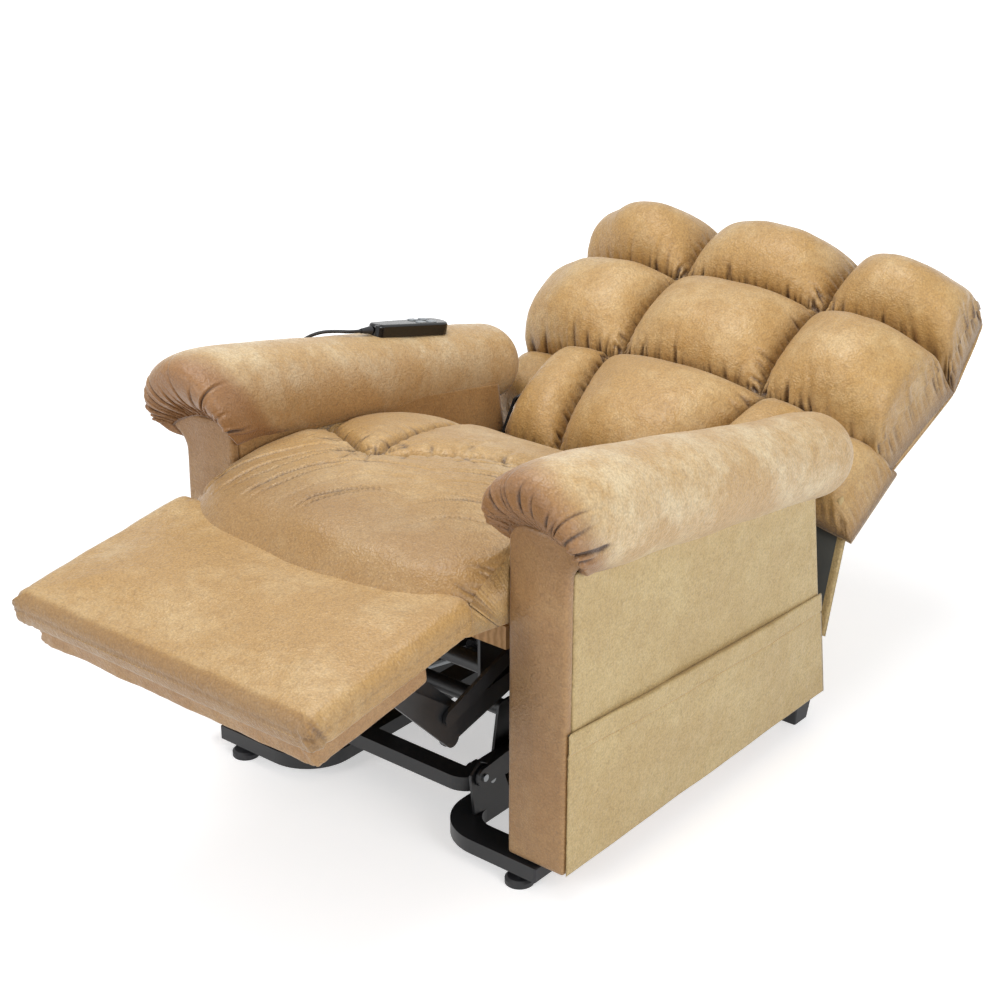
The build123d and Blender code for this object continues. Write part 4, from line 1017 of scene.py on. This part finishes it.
def make_footrest_pad():
    """The padded top: crowned, with a seam and a belly round its border."""
    piece = even_skin("footrest_pad", "footrest_pad_cover", 3.4, 3)
    spots = positions(piece)
    x, ahead, out = rest_place(spots)
    inward = np.minimum(rest_half - np.abs(x), np.minimum(rest_long - ahead, 1.2 * (ahead - 50)))
    top = smoothstep((out + 4) / 14)
    crown = 10 * smoothstep(inward / 120) * top
    seam = -5.0
    belly = 4.0 * np.cos(np.clip((out - seam) / 26, -1, 1) * math.pi / 2)
    stitch = 1.3 * ridge(out - seam, 2.0)
    wall = 1 - smoothstep((inward - 6) / 12)
    front = smoothstep((ahead - rest_long + 22) / 12) * wall
    beside = smoothstep((np.abs(x) - rest_half + 22) / 12) * wall
    corner = np.hypot(np.abs(x) - rest_half + 12, ahead - rest_long + 12)
    pleat = gathers(out * 0.5 + np.abs(x) - ahead, corner, 401, 9, 44, 3.4, 2.4, 0.5)
    pleat = pleat * smoothstep(1 - corner / 60)
    rear = gathers(x, ahead + 10, 403, 16, 50, 2.2, 3.6, 0.5) * top
    slow = 1.8 * unevenness(spots, 190, 405) + 0.6 * unevenness(spots, 60, 407)
    out_new = out + crown + top * slow * 0.8 - rear
    ahead_new = ahead + front * (belly - stitch - pleat + slow * 0.5)
    x_new = x + np.sign(x) * beside * (belly - stitch - pleat + slow * 0.5)
    # boxed corners are sewn nearly square
    over_x, over_y = np.abs(x) - rest_half + 24, ahead - rest_long + 24
    turned = np.arctan2(np.maximum(over_y, 0), np.maximum(over_x, 0))
    push = 8 * np.sin(2 * turned) ** 2 * np.clip(np.hypot(over_x, over_y) / 24, 0, 1)
    push = push * (over_x > 0) * (over_y > 0)
    x_new = x_new + np.sign(x) * push * np.cos(turned)
    ahead_new = ahead_new + push * np.sin(turned)
    move_points(piece, to_frame(*rest_spot(x_new, ahead_new, out_new)))
    line_shade = 0.16 * ridge(out - seam, 1.8) * wall * (front + beside)
    # painted shade along the border seam and in the corner pleats, and painted brown shade on the front
    # border and lightly all over
    mark(piece.data, "fold_shade", line_shade + 0.5 * smoothstep((pleat - 1.2) / 3) * wall)
    mark(piece.data, "brown_shade", 0.6 * np.clip(front, 0, 1) + 0.15)
    return finish_piece(piece, seat_hide, "footrest_panel", "upholstery", "footrest_pad", fill=0.75)


print("footrest leans", round(math.degrees(rest_lean), 1), "degrees")

# %% [markdown]
# The board below is wrapped in the darker cover of the fronts, a copy with painted shade, with more painted
# brown shade all over; it is drawn into pleats round its corners and fixed out of sight. The stitches of the
# pad follow its border seam.

# %% Footrest board and stitches
def make_footrest_board():
    """The covered board below, pleated round its front corners."""
    piece = even_skin("footrest_board", "footrest_board_cover", 3.6, 3)
    spots = positions(piece)
    x, ahead, out = rest_place(spots)
    slow = 1.6 * unevenness(spots, 110, 411) + 0.6 * unevenness(spots, 40, 413)
    corner = np.hypot(np.abs(x) - board_half + 8, ahead - board_long + 8)
    pleat = gathers(out + np.abs(x) - ahead, corner, 415, 12, 60, 3.0, 3.0, 0.5)
    x_new = x + np.sign(x) * (slow * 0.6 - pleat * 0.6) * smoothstep((np.abs(x) - 262) / 16)
    ahead_new = ahead + (slow - pleat * 0.8) * smoothstep((ahead - 300) / 20)
    ahead_new = ahead_new - 8 * smoothstep((ahead - 200) / 100)
    move_points(piece, to_frame(*rest_spot(x_new * 0.975, ahead_new, out)))
    # painted brown shade all over the board, which lies under the pad
    mark(piece.data, "brown_shade", 0.3 + 0 * x)
    return finish_piece(piece, front_shaded_hide, "footrest_panel", "upholstery", "footrest_board", fill=0.3)


foot_pad = make_footrest_pad()
foot_board = make_footrest_board()
front_run = np.array([rest_spot(v, rest_long + 3.2, -10.5) for v in np.linspace(-276, 276, 80)])
stitches("footrest_front_stitching", front_run, "footrest_panel", "upholstery", thread)
for side, word in sides:
    side_run = np.array([rest_spot(side * (rest_half + 3.2), v, -10.5)
                         for v in np.linspace(14, 318, 50)])
    stitches("footrest_side_stitching_" + word, side_run, "footrest_panel", "upholstery", thread)
print("footrest vertices: pad", len(foot_pad.data.vertices), "board", len(foot_board.data.vertices))

# %% [markdown]
# ## Outer back
# The outer back is a board shell with a thin layer of wadding, so its corners are soft.
# It is the frame's own shell in even cells, smoothed and drawn in at its upper corners.

# %% Outer back
shell = even_skin("back_shell", "outer_back_cover", 5.0, 6)
spots = positions(shell)
seat_line = Vector((0, back_seam[0] + arm_front, back_seam[1])) / 1000
along_shell = ((spots[:, 1] - seat_line.y) * math.cos(back_lean)
               + (spots[:, 2] - seat_line.z) * math.sin(back_lean))
corner = np.clip((along_shell - 0.23) / 0.148, 0, 1)
spots[:, 0] *= 0.972 - 0.15 * corner ** 2.4
move_points(shell, spots)
finish_piece(shell, side_hide, "backrest", "panel_upholstery", "back_shell", fill=0.2)
print("outer back:", len(shell.data.vertices), "vertices")

# %% [markdown]
# ## The skirt
# The skirt hangs from the shell's lower edge, its top tacked up inside: one sheet of the
# cover, lined with grey cloth on the inside, with the cover wrapped round the edges. It
# folds along a line when the back comes up, so it is blended between its two bodies.

# %% Skirt
low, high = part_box("back_skirt")
rows, columns = 60, 150
across, down = np.meshgrid(np.linspace(low.x, high.x, columns), np.linspace(0, 1, rows),
                           indexing="ij")
tilt = math.radians(15)
drop = high.z - low.z - 0.004
tuck, wrap = 0.012, 0.014            # tacked up inside the shell, and wrapped round the edges
centre_z = high.z - 0.002 + tuck - down * (drop + tuck)
centre_y = (low.y + high.y) / 2 + (centre_z - (low.z + high.z) / 2) * math.tan(tilt)
sway = 0.0022 * np.sin(across * 31) * smoothstep(down * 1.2) + 0.0012 * np.sin(across * 67 + 1.0) * down
skirt_thick = 0.0032
outer = np.stack([across, centre_y + sway + skirt_thick / 2, centre_z], -1)
inner = np.stack([across, centre_y + sway - skirt_thick / 2, centre_z], -1)
skirt = closed_pad("back_skirt_cloth", outer, inner)
skirt.data.materials.append(side_hide)
skirt.data.materials.append(lining_cloth)
for face in skirt.data.polygons:
    spot, facing = face.center, face.normal
    border = min(spot.x - low.x, high.x - spot.x, spot.z - low.z) < wrap
    face.material_index = 1 if facing.y < -0.3 and not border else 0
fold_line = Vector((0, (low.y + high.y) / 2 + drop / 2 * math.tan(tilt), high.z))
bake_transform(skirt, "backrest", "back_skirt", start=tuple(fold_line + Vector((0, 0, 0.008))),
         end=tuple(fold_line - Vector((0, 0, 0.012))))
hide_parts("back_skirt")

# %% [markdown]
# ## The handset cord
# The cord leaves the tail of the handset, slips over the outside of the arm roll and goes
# into a grommet in the side of the arm. It is a smooth curve with the same points as the
# tube in the frame, given in metres.

# %% Handset cord
cord_points = [
    (-0.345, 0.372, 0.647), (-0.346, 0.349, 0.651), (-0.357, 0.327, 0.656), (-0.378, 0.309, 0.655),
    (-0.404, 0.298, 0.642), (-0.427, 0.291, 0.619), (-0.440, 0.287, 0.586), (-0.443, 0.284, 0.548),
    (-0.443, 0.283, 0.510), (-0.440, 0.283, 0.473), (-0.433, 0.284, 0.441), (-0.417, 0.285, 0.419),
    (-0.399, 0.285, 0.419)]
curve = bpy.data.curves.new("handset_cord_curve", "CURVE")
curve.dimensions = "3D"
spline = curve.splines.new("NURBS")
spline.points.add(len(cord_points) - 1)
for point, (px, py, pz) in zip(spline.points, cord_points):
    point.co = (px, py + arm_front / 1000, pz, 1)
spline.order_u = 3
spline.use_endpoint_u = True
spline.resolution_u = 8
curve.bevel_depth = 0.003
curve.bevel_resolution = 3
cord = add_object("handset_cord_line", curve)
finish_piece(cord, cord_rubber, "chair_frame", "cord_sheath", "handset_cord")

# %% [markdown]
# ## Light and floor
# Soft lamps overhead, to one side and in front give the chair its light in a white room.
# The floor is plain and takes the shadow round the chair, and further off it turns to the
# white of the room. More lamps could do that too, but they would bleach the cover.

# %% Studio
scene = bpy.context.scene
floor_mesh = bpy.data.meshes.new("studio_floor")
floor_mesh.from_pydata([(-14, -14, 0), (14, -14, 0), (14, 14, 0), (-14, 14, 0)], [], [(0, 1, 2, 3)])
floor = add_object("studio_floor", floor_mesh)
floor_finish, tree, shader = new_finish("pale_studio_floor")
shader.inputs["Base Color"].default_value = linear("#e8e8e8")
shader.inputs["Roughness"].default_value = 0.6


def direct_view(tree):
    """1 for what the camera sees, also by reflection or through a clear piece."""
    path = add_node(tree, "LightPath")
    both = add_node(tree, "Math", {0: path.outputs["Is Camera Ray"], 1: path.outputs["Is Glossy Ray"]},
                    operation="ADD")
    every = add_node(tree, "Math", {0: both.outputs[0], 1: path.outputs["Is Transmission Ray"]},
                     operation="ADD", use_clamp=True)
    return every.outputs[0]


# the floor stays plain round the chair and turns to white further off
place = add_node(tree, "TexCoord").outputs["Object"]
distance = add_node(tree, "VectorMath", {0: place}, operation="LENGTH")
lift = add_node(tree, "MapRange", {"Value": distance.outputs["Value"], "From Min": 1.2, "From Max": 3.2,
                                   "To Min": 0.5, "To Max": 1.0})
seen = add_node(tree, "Math", {0: direct_view(tree), 1: lift.outputs[0]}, operation="MULTIPLY")
glow = add_node(tree, "Emission", {"Color": linear("#ffffff"), "Strength": seen.outputs[0]})
both = add_node(tree, "AddShader", {0: shader.outputs[0], 1: glow.outputs[0]})
tree.links.new(both.outputs[0], tree.nodes["Material Output"].inputs["Surface"])
floor_mesh.materials.append(floor_finish)

world = bpy.data.worlds.new("white_room")
scene.world = world
world.use_nodes = True
room = world.node_tree
room.nodes.clear()
backdrop = add_node(room, "Background", {"Color": linear("#ffffff"), "Strength": 1.0})
ambient = add_node(room, "Background", {"Color": linear("#fbfbff"), "Strength": 0.42})
chosen = add_node(room, "MixShader", {0: direct_view(room), 1: ambient.outputs[0],
                                      2: backdrop.outputs[0]})
add_node(room, "OutputWorld", {"Surface": chosen.outputs[0]})


def soft_lamp(name, place, aim, size, power):
    """A round area lamp that faces its aim; size is its diameter in m."""
    data = bpy.data.lights.new(name, "AREA")
    data.shape, data.size, data.energy = "DISK", size, power
    lamp = add_object(name, data)
    lamp.location = place
    lamp.rotation_euler = (Vector(aim) - Vector(place)).to_track_quat("-Z", "Y").to_euler()


soft_lamp("overhead_softbox", (-0.3, -0.2, 3.4), (0, 0, 0.5), 2.4, 62)
soft_lamp("right_softbox", (3.6, -0.9, 1.9), (0.2, -0.1, 0.4), 2.0, 62)
soft_lamp("front_softbox", (-0.6, -3.6, 1.9), (0, -0.3, 0.4), 1.8, 44)
print("lamps:", [light.name for light in bpy.data.lights])

# %% [markdown]
# ## Camera
# The camera stands in front and to the sitter's left, looking down, with a 74 mm lens. Its
# turn, dip and slight roll, in radians, give three directions, which are the columns of
# its matrix. A tracking constraint would aim it too, but leaves no roll.

# %% Camera
turn, dip, roll_turn = 0.68296, 0.41530, 0.00286
forward = Vector((-math.sin(turn) * math.cos(dip), math.cos(turn) * math.cos(dip), -math.sin(dip)))
right = Vector((math.cos(turn), math.sin(turn), 0))
above = right.cross(forward)
level_right = right * math.cos(roll_turn) + above * math.sin(roll_turn)
level_up = -right * math.sin(roll_turn) + above * math.cos(roll_turn)
lens = bpy.data.cameras.new("camera")
lens.sensor_width, lens.lens = 36.0, 73.99
camera = add_object("camera", lens)
place = Vector((1.9338, -2.0519 + arm_front / 1000, 1.7965))
turned = Matrix((level_right, level_up, -forward)).transposed().to_4x4()
camera.matrix_world = Matrix.Translation(place) @ turned
scene.camera = camera
scene.view_settings.view_transform = "Standard"
print("camera at", [round(v, 3) for v in place])
